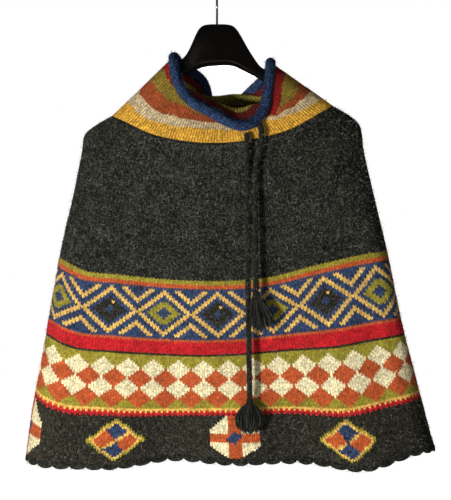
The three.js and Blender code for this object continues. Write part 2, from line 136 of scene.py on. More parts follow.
# Wool yarn: mottled and heathered colour, light fibres over it, and the height of its twist and fibres.
# Dark Grain is the grain that only the dark yarns get on top.
def makeWoolGroup():
    group, given, result = newGroup(
        "woolYarn",
        [("Colour", "NodeSocketColor", (0.1, 0.1, 0.1, 1)), ("Mottle", "NodeSocketFloat", 0.2),
         ("Grain", "NodeSocketFloat", 0.3), ("Dark Grain", "NodeSocketFloat", 0.0),
         ("Fibre", "NodeSocketFloat", 0.2), ("Fibre Colour", "NodeSocketColor", (0.3, 0.3, 0.3, 1)),
         ("Fineness", "NodeSocketFloat", 1.0)],
        [("Colour", "NodeSocketColor"), ("Height", "NodeSocketFloat")],
    )
    place = addNode(group, "ShaderNodeTexCoord").outputs["Object"]
    fine = addNode(group, "ShaderNodeVectorMath", {"operation": "SCALE"}, i0=place,
                   Scale=given.outputs["Fineness"]).outputs[0]
    broad = addNode(group, "ShaderNodeTexNoise", Vector=place, Scale=32.0, Detail=4.0, Roughness=0.65)
    grain = addNode(group, "ShaderNodeTexNoise", Vector=fine, Scale=300.0, Detail=3.0, Roughness=0.7)
    bend = addNode(group, "ShaderNodeTexNoise", Vector=fine, Scale=120.0, Detail=1.0)
    bent = addNode(group, "ShaderNodeVectorMath", {"operation": "MULTIPLY_ADD"}, i0=bend.outputs["Color"],
                   i1=(0.012, 0.012, 0.012), i2=fine)
    strands = addNode(group, "ShaderNodeTexWave", {"wave_type": "RINGS", "rings_direction": "SPHERICAL"},
                      Vector=bent.outputs[0], Scale=240.0, Distortion=14.0, Detail=2.0, Detail_Scale=2.2)
    hair = addNode(group, "ShaderNodeMapRange", Value=strands.outputs["Fac"],
                   From_Min=0.80, From_Max=0.98, To_Min=0.0, To_Max=1.0)
    mottle = addNode(group, "ShaderNodeMapRange", Value=broad.outputs["Fac"],
                     From_Min=0.36, From_Max=0.64, To_Min=-1.0, To_Max=1.0)
    speck = addNode(group, "ShaderNodeMapRange", Value=grain.outputs["Fac"],
                    From_Min=0.42, From_Max=0.60, To_Min=-1.0, To_Max=1.0)
    broadPart = addNode(group, "ShaderNodeMath", {"operation": "MULTIPLY"}, i0=mottle.outputs[0],
                        i1=given.outputs["Mottle"])
    dark = addNode(group, "ShaderNodeMapRange", Value=given.outputs["Colour"],
                   From_Min=0.02, From_Max=0.05, To_Min=1.0, To_Max=0.0)
    grainSize = addNode(group, "ShaderNodeMath", {"operation": "MULTIPLY_ADD"}, i0=dark.outputs[0],
                        i1=given.outputs["Dark Grain"], i2=given.outputs["Grain"])
    grainPart = addNode(group, "ShaderNodeMath", {"operation": "MULTIPLY_ADD"}, i0=speck.outputs[0],
                        i1=grainSize.outputs[0], i2=broadPart.outputs[0])
    tone = addNode(group, "ShaderNodeMath", {"operation": "ADD"}, i0=grainPart.outputs[0], i1=1.0)
    floor = addNode(group, "ShaderNodeMath", {"operation": "MAXIMUM"}, i0=tone.outputs[0], i1=0.12)
    toned = addNode(group, "ShaderNodeVectorMath", {"operation": "SCALE"}, i0=given.outputs["Colour"],
                    Scale=floor.outputs[0])
    cover = addNode(group, "ShaderNodeMath", {"operation": "MULTIPLY"}, i0=hair.outputs[0],
                    i1=given.outputs["Fibre"])
    mixed = addNode(group, "ShaderNodeMix", {"data_type": "RGBA"}, Factor=cover.outputs[0])
    group.links.new(toned.outputs[0], mixed.inputs["A"])
    group.links.new(given.outputs["Fibre Colour"], mixed.inputs["B"])
    height = addNode(group, "ShaderNodeMath", {"operation": "MULTIPLY_ADD"}, i0=hair.outputs[0],
                     i1=0.5, i2=grain.outputs["Fac"])
    group.links.new(mixed.outputs["Result"], result.inputs["Colour"])
    group.links.new(height.outputs[0], result.inputs["Height"])
    return group


# Handled plastic and metal: light marks and dust that change the gloss
def makeWearGroup():
    group, given, result = newGroup(
        "surfaceWear",
        [("Scale", "NodeSocketFloat", 60.0), ("Low", "NodeSocketFloat", 0.15),
         ("High", "NodeSocketFloat", 0.35)],
        [("Roughness", "NodeSocketFloat"), ("Mask", "NodeSocketFloat"), ("Height", "NodeSocketFloat")],
    )
    place = addNode(group, "ShaderNodeTexCoord").outputs["Object"]
    cloud = addNode(group, "ShaderNodeTexNoise", Vector=place, Scale=given.outputs["Scale"], Detail=5.0)
    skin = addNode(group, "ShaderNodeTexNoise", Vector=place, Scale=700.0, Detail=1.0)
    gloss = addNode(group, "ShaderNodeMapRange", Value=cloud.outputs["Fac"], From_Min=0.35, From_Max=0.7,
                    To_Min=given.outputs["Low"], To_Max=given.outputs["High"])
    dust = addNode(group, "ShaderNodeMapRange", Value=cloud.outputs["Fac"], From_Min=0.55, From_Max=0.8)
    group.links.new(gloss.outputs[0], result.inputs["Roughness"])
    group.links.new(dust.outputs[0], result.inputs["Mask"])
    group.links.new(skin.outputs["Fac"], result.inputs["Height"])
    return group


woolGroup = makeWoolGroup()
wearGroup = makeWearGroup()


def newMaterial(name):
    material = bpy.data.materials.new(name)
    material.use_nodes = True
    tree = material.node_tree
    return material, tree, tree.nodes["Principled BSDF"]


def woolMaterial(name, look):
    material, tree, shader = newMaterial(name)
    yarn = addNode(tree, "ShaderNodeVertexColor", {"layer_name": "yarn"})
    wool = tree.nodes.new("ShaderNodeGroup")
    wool.node_tree = woolGroup
    tree.links.new(yarn.outputs["Color"], wool.inputs["Colour"])
    for label, key in (("Mottle", "mottle"), ("Grain", "grain"), ("Dark Grain", "darkGrain"),
                       ("Fibre", "fibre"), ("Fineness", "fineness")):
        wool.inputs[label].default_value = look[key]
    wool.inputs["Fibre Colour"].default_value = (*look["fibreColour"], 1)
    bump = addNode(tree, "ShaderNodeBump", Height=wool.outputs["Height"], Strength=0.8,
                   Distance=look["bump"] * mm)
    tree.links.new(wool.outputs["Colour"], shader.inputs["Base Color"])
    tree.links.new(bump.outputs["Normal"], shader.inputs["Normal"])
    shader.inputs["Roughness"].default_value = 0.95
    shader.inputs["Specular IOR Level"].default_value = 0.12
    shader.inputs["Sheen Weight"].default_value = look["sheen"]
    shader.inputs["Sheen Roughness"].default_value = 0.55
    shader.inputs["Sheen Tint"].default_value = (*look["sheenColour"], 1)
    return material


woolBase = {"darkGrain": 0.0, "fineness": 1.0, "sheen": 0.03}   # unless a wool says otherwise
woolLooks = {
    "charcoalWool": {"mottle": 0.50, "grain": 1.25, "fibre": 0.12, "bump": 0.9,
                     "fibreColour": srgb(112, 114, 106), "sheenColour": srgb(190, 190, 180)},
    "patternWool": {"mottle": 0.12, "grain": 0.28, "darkGrain": 1.0, "fibre": 0.10, "bump": 0.7,
                    "fibreColour": srgb(225, 205, 165), "sheenColour": srgb(220, 205, 180)},
    "collarWool": {"mottle": 0.16, "grain": 0.32, "fibre": 0.10, "bump": 0.7,
                   "fibreColour": srgb(225, 200, 150), "sheenColour": srgb(220, 205, 180)},
    "rimWool": {"mottle": 0.20, "grain": 0.90, "fibre": 0.25, "bump": 0.9,
                "fibreColour": srgb(90, 112, 150), "sheenColour": srgb(160, 175, 205)},
    "cordWool": {"mottle": 0.12, "grain": 0.60, "fibre": 0.28, "fineness": 1.2, "bump": 0.8,
                 "fibreColour": srgb(104, 98, 86), "sheenColour": srgb(190, 188, 175)},
}
materials = {name: woolMaterial(name, {**woolBase, **look}) for name, look in woolLooks.items()}


def hairMaterial():
    material, tree, shader = newMaterial("looseFibre")
    yarn = addNode(tree, "ShaderNodeVertexColor", {"layer_name": "yarn"})
    place = addNode(tree, "ShaderNodeTexCoord")
    noise = addNode(tree, "ShaderNodeTexNoise", Vector=place.outputs["Object"], Scale=300.0, Detail=1.0)
    tone = addNode(tree, "ShaderNodeMapRange", Value=noise.outputs["Fac"], From_Min=0.3, From_Max=0.7,
                   To_Min=0.75, To_Max=1.25)
    toned = addNode(tree, "ShaderNodeVectorMath", {"operation": "SCALE"}, i0=yarn.outputs["Color"],
                    Scale=tone.outputs[0])
    tree.links.new(toned.outputs[0], shader.inputs["Base Color"])
    shader.inputs["Roughness"].default_value = 0.8
    shader.inputs["Specular IOR Level"].default_value = 0.2
    return material


def hardMaterial(name, look):
    material, tree, shader = newMaterial(name)
    wear = tree.nodes.new("ShaderNodeGroup")
    wear.node_tree = wearGroup
    wear.inputs["Scale"].default_value = look["scale"]
    wear.inputs["Low"].default_value = look["gloss"][0]
    wear.inputs["High"].default_value = look["gloss"][1]
    mixed = addNode(tree, "ShaderNodeMix", {"data_type": "RGBA"}, Factor=wear.outputs["Mask"])
    mixed.inputs["A"].default_value = (*look["colour"], 1)
    mixed.inputs["B"].default_value = (*look["dust"], 1)
    bump = addNode(tree, "ShaderNodeBump", Height=wear.outputs["Height"], Strength=0.3,
                   Distance=look["bump"] * mm)
    tree.links.new(mixed.outputs["Result"], shader.inputs["Base Color"])
    tree.links.new(wear.outputs["Roughness"], shader.inputs["Roughness"])
    tree.links.new(bump.outputs["Normal"], shader.inputs["Normal"])
    shader.inputs["Metallic"].default_value = look["metal"]
    shader.inputs["Specular IOR Level"].default_value = look["specular"]
    return material


hardLooks = {
    "hangerPlastic": {"colour": srgb(6, 5, 4), "dust": srgb(12, 11, 9), "scale": 35.0, "gloss": (0.14, 0.26),
                      "bump": 0.03, "metal": 0.0, "specular": 0.2},
    "hookSteel": {"colour": srgb(150, 148, 144), "dust": srgb(105, 100, 92), "scale": 160.0,
                  "gloss": (0.22, 0.45), "bump": 0.02, "metal": 1.0, "specular": 0.5},
}
materials["looseFibre"] = hairMaterial()
materials.update({name: hardMaterial(name, look) for name, look in hardLooks.items()})
print("materials made")


# Reading tables: a cubic through the rows, each slope taken from the two neighbours

def cubicRead(places, values, x):
    x = np.atleast_1d(np.asarray(x, float))
    after = np.clip(np.searchsorted(places, x), 1, len(places) - 1)
    pick = np.clip(np.stack([after - 2, after - 1, after, after + 1]), 0, len(places) - 1)
    p = places[pick]
    v = values[pick]
    step = p[2] - p[1]
    p[0] -= np.where(pick[0] == pick[1], step, 0)
    p[3] += np.where(pick[3] == pick[2], step, 0)
    slopeIn = (v[2] - v[0]) / (p[2] - p[0])[:, None] * step[:, None]
    slopeOut = (v[3] - v[1]) / (p[3] - p[1])[:, None] * step[:, None]
    t = ((x - p[1]) / step)[:, None]
    blend = (3 - 2 * t) * t * t
    return (1 - blend) * v[1] + blend * v[2] + ((t - 2) * t + 1) * t * slopeIn + (t - 1) * t * t * slopeOut


def closedRead(places, values, x):
    x = np.asarray(x, float)
    turn = x - np.floor(x - places[0])
    longPlaces = np.concatenate([places - 1, places, places + 1])
    return cubicRead(longPlaces, np.concatenate([values] * 3), turn)


def smoothstep(low, high, x):
    t = np.clip((x - low) / (high - low), 0, 1)
    return t * t * (3 - 2 * t)


def wrap(turn):
    return turn - np.round(turn)


def unit(vectors):
    return vectors / np.maximum(np.linalg.norm(vectors, axis=-1, keepdims=True), 1e-9)


# Smooth seeded noise on a closed grid, about -1 to 1
def softNoise(rows, columns, cellsDown, cellsAround, seed):
    values = np.random.default_rng(seed).uniform(-1, 1, (cellsDown + 2, cellsAround))
    down = cubicRead(np.arange(cellsDown + 2.0), values, np.linspace(0.5, cellsDown + 0.5, rows))
    return closedRead(np.arange(cellsAround) / cellsAround, down.T.copy(), np.arange(columns) / columns).T


# The body's form: rings from the neck seam down to the hem, as the frame's own cloth has them
body = {
    "rings": np.array((
        # share left right front back endLeft endRight, then the height at eight stations round the ring
        (0.00, -178, 197, 58, 54, 170, 170, -256, -236, -189, -206, -226, -216, -206, -245),
        (0.09, -222, 241, 55, 52, 150, 150, -303, -281, -220, -262, -284, -272, -235, -292),
        (0.154, -230, 249, 52, 50, 110, 105, -337, -314, -263, -298, -322, -308, -270, -326),
        (0.27, -242, 264, 49, 49, 80, 65, -399, -373, -331, -364, -388, -376, -335, -388),
        (0.44, -267, 289, 46, 48, 62, 42, -487, -462, -437, -458, -476, -468, -447, -479),
        (0.68, -289, 318, 46, 49, 58, 38, -611, -597, -578, -594, -602, -598, -583, -607),
        (0.86, -308, 348, 50, 53, 60, 42, -708, -710, -686, -704, -704, -702, -686, -706),
        (1.00, -320, 368, 56, 59, 62, 48, -779, -786, -764, -782, -780, -780, -777, -786),
    )),
    "folds": (
        # around, width, share where it starts, depth at the hem, lift of the hem
        (-0.205, 0.040, 0.05, 7, -5), (-0.140, 0.034, 0.50, 7, -3), (-0.068, 0.034, 0.55, -10, 8),
        (0.010, 0.034, 0.45, 6, -2), (0.075, 0.032, 0.55, -9, 6), (0.146, 0.034, 0.20, 9, -8),
        (0.205, 0.030, 0.60, -6, 4), (0.310, 0.036, 0.45, 9, -3), (0.375, 0.030, 0.35, -10, 7),
        (0.440, 0.034, 0.30, 9, -4), (0.505, 0.032, 0.40, -8, 8), (0.570, 0.034, 0.25, 10, -3),
        (0.640, 0.032, 0.45, -9, 6), (0.700, 0.030, 0.55, 7, -4),
    ),
    "creases": (
        # from around, share, to around, share, then reach to each side and depth; a ridge is positive
        (-0.190, 0.42, -0.222, 0.96, 15, 3.0), (-0.165, 0.40, -0.185, 0.86, 13, -2.0),
        (-0.215, 0.05, -0.150, 0.30, 20, 2.2), (-0.120, 0.10, -0.100, 0.42, 24, -1.6),
        (-0.045, 0.20, -0.030, 0.52, 26, 1.4), (0.130, 0.06, 0.105, 0.34, 18, -2.0),
        (0.205, 0.04, 0.150, 0.26, 15, 2.6), (0.225, 0.08, 0.190, 0.40, 13, -2.2),
        (0.215, 0.40, 0.228, 0.80, 14, 2.4), (0.190, 0.55, 0.185, 0.90, 13, -1.8),
        (0.095, 0.50, 0.110, 0.78, 16, 1.2), (-0.090, 0.62, -0.098, 0.90, 15, 1.8),
        (0.290, 0.06, 0.350, 0.34, 18, 2.4), (0.330, 0.10, 0.400, 0.44, 15, -2.2),
        (0.450, 0.12, 0.460, 0.40, 24, 1.5), (0.540, 0.10, 0.530, 0.46, 22, -1.7),
        (0.620, 0.06, 0.590, 0.36, 18, 2.2), (0.690, 0.05, 0.650, 0.30, 16, -2.0),
        (0.470, 0.55, 0.462, 0.92, 15, 1.8), (0.610, 0.56, 0.622, 0.90, 15, 1.6),
    ),
    "gridRows": 260,
    "gridColumns": 960,
    "uneven": ((9, 26, 1.0, 11), (26, 80, 0.40, 12)),   # cells down and around, size, seed
    "foldEnd": 1.05,             # share where a fold has its whole depth
    "hemLiftStart": 0.84,
    "spread": (1250.0, 560.0),   # cloth round and down, for the creases' lengths
    "creaseEnds": (0.08, 0.92),
    "creaseSwell": 0.6,
    "calmTop": 0.05,             # no crease at the neck seam
}


def halfPlan(left, right, endLeft, endRight, depth):
    steps = 40
    angle = np.arange(steps) / steps * math.pi / 2
    straight = np.linspace(left + endLeft, right - endRight, steps, endpoint=False)
    back = np.arange(steps, -1, -1) / steps * math.pi / 2
    x = np.concatenate([left + endLeft * (1 - np.cos(angle)), straight,
                        right - endRight * (1 - np.cos(back))])
    y = depth * np.concatenate([np.sin(angle), np.ones(steps), np.sin(back)])
    lengths = np.concatenate([[0], np.cumsum(np.hypot(np.diff(x), np.diff(y)))])
    return x, y, lengths


def bodyRow(share, around):
    ring = cubicRead(body["rings"][:, 0], body["rings"][:, 1:], share)[0]
    left, right, front, back, endLeft, endRight = ring[:6]
    turn = wrap(around)
    inFront = np.abs(turn) <= 0.25
    run = np.where(inFront, (turn + 0.25) * 2, (0.25 - wrap(around - 0.5)) * 2)
    row = np.zeros((len(around), 3))
    out = np.zeros((len(around), 2))
    for half, depth, side in ((inFront, -front, 1), (~inFront, back, -1)):
        x, y, lengths = halfPlan(left, right, endLeft, endRight, depth)
        at = run[half] * lengths[-1]
        row[half, 0] = np.interp(at, lengths, x)
        row[half, 1] = np.interp(at, lengths, y)
        out[half, 0] = side * np.interp(at, lengths, np.gradient(y, lengths))
        out[half, 1] = -side * np.interp(at, lengths, np.gradient(x, lengths))
    heights = ring[6:]
    row[:, 2] = closedRead(np.arange(8) / 8, heights[:, None], around)[:, 0]
    for place, width, start, depth, lift in body["folds"]:
        near = np.exp(-(wrap(around - place) / width) ** 2)
        row[:, :2] += out * (depth * near * smoothstep(start, body["foldEnd"], share))[:, None]
        row[:, 2] += lift * near * smoothstep(body["hemLiftStart"], 1, share)
    return row


def gridNormals(grid):
    along = np.roll(grid, -1, 1) - np.roll(grid, 1, 1)
    down = np.gradient(grid, axis=0)
    return unit(np.cross(down, along))


def makeBodyGrid():
    columns = body["gridColumns"]
    around = np.arange(columns) / columns
    shares = np.linspace(0, 1, body["gridRows"])
    grid = np.stack([bodyRow(share, around) for share in shares])
    girth, drop = body["spread"]
    push = np.zeros(grid.shape[:2])
    for fromAround, fromShare, toAround, toShare, reach, depth in body["creases"]:
        ax = wrap(around[None, :] - fromAround) * girth
        ay = (shares[:, None] - fromShare) * drop
        bx, by = (toAround - fromAround) * girth, (toShare - fromShare) * drop
        t = np.clip((ax * bx + ay * by) / (bx * bx + by * by), 0, 1)
        away = np.hypot(ax - t * bx, ay - t * by)
        swell = np.sin(math.pi * np.clip(t, *body["creaseEnds"])) ** body["creaseSwell"]
        push += depth * np.exp(-(away / reach) ** 2) * swell
    for cellsDown, cellsAround, size, seed in body["uneven"]:
        push += size * softNoise(*grid.shape[:2], cellsDown, cellsAround, seed)
    push *= smoothstep(0, body["calmTop"], shares)[:, None]
    return grid + gridNormals(grid) * push[..., None]


def gridAt(grid, row, turn):
    rows, columns = grid.shape[:2]
    row = np.clip(row, 0, rows - 1.0001)
    column = (turn % 1) * columns
    r = row.astype(int)
    c = column.astype(int) % columns
    d = (c + 1) % columns
    downPart = (row - r)[..., None]
    acrossPart = (column - np.floor(column))[..., None]
    upper = grid[r, c] * (1 - acrossPart) + grid[r, d] * acrossPart
    lower = grid[r + 1, c] * (1 - acrossPart) + grid[r + 1, d] * acrossPart
    return upper * (1 - downPart) + lower * downPart


# How far the knit bands hang below or above their even place, from the photo
sag = {
    "levels": (0, 0.4365, 0.6688, 0.8714, 1),
    "shifts": np.array((
        # around, then the shift of the share at the three inner levels
        (-0.25, 0.000, -0.007, -0.022), (-0.225, 0.005, -0.003, -0.014), (-0.206, 0.013, 0.008, -0.001),
        (-0.185, 0.018, 0.015, 0.005), (-0.144, 0.004, 0.006, -0.003), (-0.09, 0.000, 0.003, -0.005),
        (-0.034, -0.001, 0.005, -0.008), (0.010, 0.002, 0.004, -0.011), (0.050, 0.008, 0.003, -0.017),
        (0.085, 0.007, 0.004, -0.017), (0.133, -0.002, 0.008, -0.009), (0.18, -0.004, 0.005, -0.014),
        (0.25, 0.000, 0.002, -0.018), (0.38, 0.004, 0.000, -0.010), (0.5, 0.006, 0.000, -0.012),
        (0.62, 0.004, -0.001, -0.012),
    )),
}


def sagged(grid):
    rows, columns = grid.shape[:2]
    turn = np.arange(columns) / columns
    share = np.linspace(0, 1, rows)[:, None]
    shifts = closedRead(sag["shifts"][:, 0], sag["shifts"][:, 1:], turn)
    peaks = np.eye(len(sag["levels"]))[1:-1]   # one for each inner level
    shift = sum(shifts[:, n] * np.interp(share, sag["levels"], peak) for n, peak in enumerate(peaks))
    return gridAt(grid, (share + shift) * (rows - 1), np.broadcast_to(turn, shift.shape))


# Faces of a closed band of rings, outside seen when the rings run down
def bandFaces(lines, columns):
    line, column = np.meshgrid(np.arange(lines - 1), np.arange(columns), indexing="ij")
    following = (column + 1) % columns
    a = line * columns + column
    d = line * columns + following
    return np.stack([a, a + columns, d + columns, d], -1).reshape(-1, 4)


# A patch is points, quads, a colour and a pair of stitch coordinates at each corner
def bandPatch(points, colours, shade=None):
    lines, columns = points.shape[:2]
    quads = bandFaces(lines, columns)
    colours = np.broadcast_to(np.asarray(colours).reshape(-1, 1, 3), (len(quads), 4, 3))
    # shade multiplies each corner's colour: painted shade and painted highlight of the stitches
    if shade is not None:
        colours = colours * shade.reshape(-1)[quads][..., None]
    line, column = np.meshgrid(np.arange(lines - 1), np.arange(columns), indexing="ij")
    corners = np.stack([np.stack([column, line], -1), np.stack([column, line + 1], -1),
                        np.stack([column + 1, line + 1], -1), np.stack([column + 1, line], -1)], 2)
    return {"points": points.reshape(-1, 3), "quads": quads, "colours": colours,
            "stitches": corners.reshape(-1, 4, 2).astype(float)}


# Rows of knit stitches on a grid: each stitch is a V of two raised legs that narrow where rows meet.
# A tuck sinks the first row, which lies under the patch above.
def knitPatch(grid, rows, count, codes, relief, seed, tuck=0.0):
    random = np.random.default_rng(seed)
    normals = gridNormals(grid)
    stitchRows = len(rows) - 1
    lines = 2 * stitchRows + 1
    columns = 4 * count
    kind = np.arange(columns) % 4
    slant = np.array([-0.5, 0.0, 0.5, 0.0]) * relief["slant"]
    rowPlace = np.arange(lines)[:, None] / 2 + slant[kind][None, :]
    rowPlace += random.normal(0, relief["wander"], (lines, columns)) * (kind % 2)[None, :]
    if relief["straightTop"]:
        rowPlace[:2] = np.maximum(rowPlace[:2], np.array([[0.0], [0.25]]))
    if relief["straightBottom"]:
        rowPlace[-2:] = np.minimum(rowPlace[-2:], np.array([[stitchRows - 0.25], [stitchRows]]))
    across = np.arange(columns)[None, :] / 4 + random.normal(0, relief["wander"], (lines, columns))
    place = np.interp(rowPlace, np.arange(stitchRows + 1), rows)
    place += np.where(rowPlace < 0, rowPlace * (rows[1] - rows[0]), 0)
    points = gridAt(grid, place, across / count)
    out = unit(gridAt(normals, place, across / count))
    leg = np.array(relief["legs"])[kind][None, :]
    meeting = np.arange(lines)[:, None] % 2 == 0   # the lines where two rows meet
    pinch = np.where(meeting, relief["pinch"], 1.0)
    plump = 1 + random.normal(0, relief["plump"], (stitchRows + 1, count))
    plump = np.repeat(np.repeat(plump, 2, 0)[:lines], 4, 1)
    height = relief["height"] * leg * pinch * plump
    if tuck:
        height[:3] -= tuck * np.array([[1.0], [0.8], [0.4]])
    points = points + out * height[..., None]
    tone = 1 + random.normal(0, 1, (stitchRows, count, 1)) * heather[codes][..., None]
    colours = yarnColours[codes] * np.clip(tone, 0.3, 1.9)
    colours = np.repeat(np.repeat(colours, 2, 0), 4, 1)
    colours = colours * np.clip(1 + random.normal(0, 0.06, (*colours.shape[:2], 1)), 0.6, 1.4)
    # painted shade: darker between stitches, down the V's middle and where rows meet; painted highlight on
    # the raised legs
    shade = np.array(relief["shade"])[kind][None, :] * np.where(meeting, relief["gap"], 1.0)
    patch = bandPatch(points, colours, shade)
    patch["stitches"] = patch["stitches"] * (0.25, 0.5)
    return patch


def joined(patches):
    starts = np.cumsum([0] + [len(patch["points"]) for patch in patches])
    result = {key: np.concatenate([patch[key] for patch in patches]) for key in patches[0]}
    result["quads"] = np.concatenate([patch["quads"] + start for patch, start in zip(patches, starts)])
    return result


def addPiece(name, patch, material):
    mesh = bpy.data.meshes.new(name)
    quads = patch["quads"]
    mesh.vertices.add(len(patch["points"]))
    mesh.vertices.foreach_set("co", (patch["points"] * mm).astype(np.float32).ravel())
    mesh.loops.add(quads.size)
    mesh.loops.foreach_set("vertex_index", quads.astype(np.int32).ravel())
    mesh.polygons.add(len(quads))
    mesh.polygons.foreach_set("loop_start", np.arange(0, quads.size, 4, dtype=np.int32))
    mesh.update(calc_edges=True)
    mesh.polygons.foreach_set("use_smooth", np.ones(len(quads), bool))
    if "colours" in patch:
        corners = patch["colours"].reshape(-1, 3)
        values = np.concatenate([corners, np.ones((len(corners), 1))], 1).astype(np.float32)
        mesh.color_attributes.new("yarn", "FLOAT_COLOR", "CORNER").data.foreach_set("color", values.ravel())
    if "stitches" in patch:
        layer = mesh.uv_layers.new(name="stitches")
        layer.uv.foreach_set("vector", patch["stitches"].astype(np.float32).ravel())
    mesh.validate()
    mesh.materials.append(materials[material])
    piece = bpy.data.objects.new(name, mesh)
    bpy.context.scene.collection.objects.link(piece)
    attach(piece, "root")
    return piece


# The drawcord's two free ends, knitted round, each along its listed route
cords = {
    "width": 8,
    "sides": 40,
    "stitches": 5,
    "row": 3.4,         # length of one row of stitches
    "tasselGap": 0.3,
    # the relief's shade and the darkening where rows meet are painted shade, with painted highlight on the
    # legs
    "relief": {"slant": 0.8, "wander": 0.05, "height": 0.9, "pinch": 0.35, "plump": 0.25,
               "legs": (-0.3, 1.0, 0.0, 1.0), "straightTop": True, "straightBottom": True,
               "shade": (0.40, 1.15, 0.60, 1.15), "gap": 0.65},
    "seeds": {"long": 31, "short": 33},
    "long": ((50, -55.4, -242.2), (50, -63, -244.6), (50, -69, -250.6), (50, -71, -259), (50.1, -70.6, -270),
             (50.3, -69.4, -290), (50.6, -68.2, -320), (51, -67.4, -370), (51.4, -67.6, -430),
             (51.8, -68.4, -490), (52.4, -69.6, -550), (53.2, -71.2, -610), (54, -72.8, -655),
             (54.3, -73.5, -676)),
    "short": ((71, -46.8, -224.2), (71.6, -55, -226.4), (73, -61, -232.6), (74, -64, -241), (74.2, -66, -252),
              (73, -67.6, -264), (69.6, -68.6, -277), (65.8, -69.2, -290), (64.2, -69.4, -308),
              (63.9, -69.4, -350), (63.9, -69.8, -400), (64, -70.6, -450), (64.4, -71.8, -480),
              (64.8, -72.4, -499)),
}


def cordPath(route):
    points = np.array(route, float)
    lengths = np.concatenate([[0], np.cumsum(np.linalg.norm(np.diff(points, axis=0), axis=1))])
    count = int(lengths[-1] / cords["row"] * 2)
    return cubicRead(lengths, points, np.linspace(0, lengths[-1], count))


def tubeGrid(path, radius, sides, sideways=(0, 1, 0)):
    along = unit(np.gradient(path, axis=0))
    second = unit(np.array(sideways, float) - along * (along @ np.array(sideways, float))[:, None])
    first = np.cross(along, second)
    angle = np.arange(sides) / sides * 2 * math.pi
    ring = first[:, None] * np.cos(angle)[None, :, None] + second[:, None] * np.sin(angle)[None, :, None]
    return path[:, None] + ring * np.broadcast_to(np.asarray(radius, float), len(path))[:, None, None]


def makeCord(end, path):
    grid = tubeGrid(path, cords["width"] / 2, cords["sides"])
    rowCount = len(path) // 2
    rows = np.linspace(0, len(path) - 1, rowCount + 1)
    codes = np.full((rowCount, cords["stitches"]), yarnCode["cordGrey"])
    patch = knitPatch(grid, rows, cords["stitches"], codes, cords["relief"], cords["seeds"][end])
    piece = addPiece("cord_" + end, patch, "cordWool")
    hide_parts("drawcord_" + end)
    return piece


# Tassels: a wrapped head and loose strands that swell and draw in again
tassels = {
    "headRadius": 6.0,
    "headHeight": 12.0,
    "headRings": 25,
    "headSides": 20,
    # share down, then the part of the radius there; the same for a strand's taper
    "headSwell": ((0, 0.12, 0.35, 0.72, 0.9, 1), (0.45, 0.8, 1, 0.95, 0.7, 0.62)),
    "wraps": 6,
    "wrapDepth": 0.07,
    "strandRadius": 1.15,
    "strandTaper": ((0, 0.1, 0.93, 1), (0.7, 1, 0.9, 0.1)),
    "sides": 4,
    "stations": 11,
    "strandStart": 0.6,    # how far down the head
    "outerShorter": 0.22,
    "swayWaves": (0.8, 2.6),
    "swaySize": (0.4, 2.2),
    # spread: share down a strand, then how far out it stands
    "long": {"strands": 136, "length": 57, "lean": (-1, 0), "across": 23.5, "deep": 15.5, "ragged": 0.16,
             "spread": ((0, 0.12), (0.25, 0.62), (0.62, 1.0), (1.0, 0.84)), "seed": 41},
    "short": {"strands": 108, "length": 64, "lean": (9, -5), "across": 24, "deep": 8, "ragged": 0.30,
              "spread": ((0, 0.20), (0.25, 0.42), (0.62, 0.74), (1.0, 1.0)), "seed": 43},
}


def tasselPatch(top, shape):
    random = np.random.default_rng(shape["seed"])
    grey = yarnColours[yarnCode["cordGrey"]]
    headHeight, rings, headSides = tassels["headHeight"], tassels["headRings"], tassels["headSides"]
    down = np.linspace(0, 1, rings)
    swell = np.interp(down, *tassels["headSwell"])
    swell = swell * (1 + tassels["wrapDepth"] * np.cos(down * tassels["wraps"] * 2 * math.pi))
    middle = top + np.stack([0 * down, 0 * down, -down * headHeight], 1)
    head = tubeGrid(middle, tassels["headRadius"] * swell, headSides)
    patches = [bandPatch(head, grey * random.uniform(0.7, 1.2, (rings - 1, headSides, 1)))]
    root = top - np.array([0, 0, headHeight * tassels["strandStart"]])
    t = np.linspace(0, 1, tassels["stations"])
    spread = np.array(shape["spread"], float)
    wide = cubicRead(spread[:, 0], spread[:, 1:], t)[:, 0]
    for n in range(shape["strands"]):
        reach = math.sqrt((n + 0.5) / shape["strands"])
        angle = n * math.pi * (3 - math.sqrt(5))
        drop = shape["length"] * (1 - tassels["outerShorter"] * reach * reach)
        drop = drop * random.uniform(1.02 - shape["ragged"], 1.02)
        phase = random.uniform(0, 6.3)
        waves = random.uniform(*tassels["swayWaves"])
        size = random.uniform(*tassels["swaySize"])
        sway = size * t * np.sin(phase + waves * 2 * math.pi * t)
        path = np.stack([
            root[0] + shape["lean"][0] * t + reach * wide * shape["across"] * math.cos(angle) + sway,
            root[1] + shape["lean"][1] * t + reach * wide * shape["deep"] * math.sin(angle) + sway * 0.6,
            root[2] - t * drop,
        ], 1)
        radius = tassels["strandRadius"] * random.uniform(0.8, 1.15)
        radius = radius * np.interp(t, *tassels["strandTaper"])
        strand = tubeGrid(path, radius, tassels["sides"], (math.cos(angle), math.sin(angle), 0))
        tone = grey * random.uniform(0.45, 2.4) ** 1.8
        fade = random.uniform(0.85, 1.15, (len(t) - 1, tassels["sides"], 1))
        patches.append(bandPatch(strand, np.broadcast_to(tone, (*fade.shape[:2], 3)) * fade))
    return joined(patches)


def makeDrawcord(end):
    path = cordPath(cords[end])
    cord = makeCord(end, path)
    top = path[-1] - np.array([0, 0, cords["tasselGap"]])
    tassel = addPiece("strands_" + end, tasselPatch(top, tassels[end]), "cordWool")
    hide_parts("tassel_" + end)
    return path


cordPaths = {end: makeDrawcord(end) for end in cords["seeds"]}
print("drawcord made")


# Stitch patterns: a chart gives a yarn for each row and stitch

def plainChart(rows, count, yarn):
    return np.full((rows, count), yarnCode[yarn])


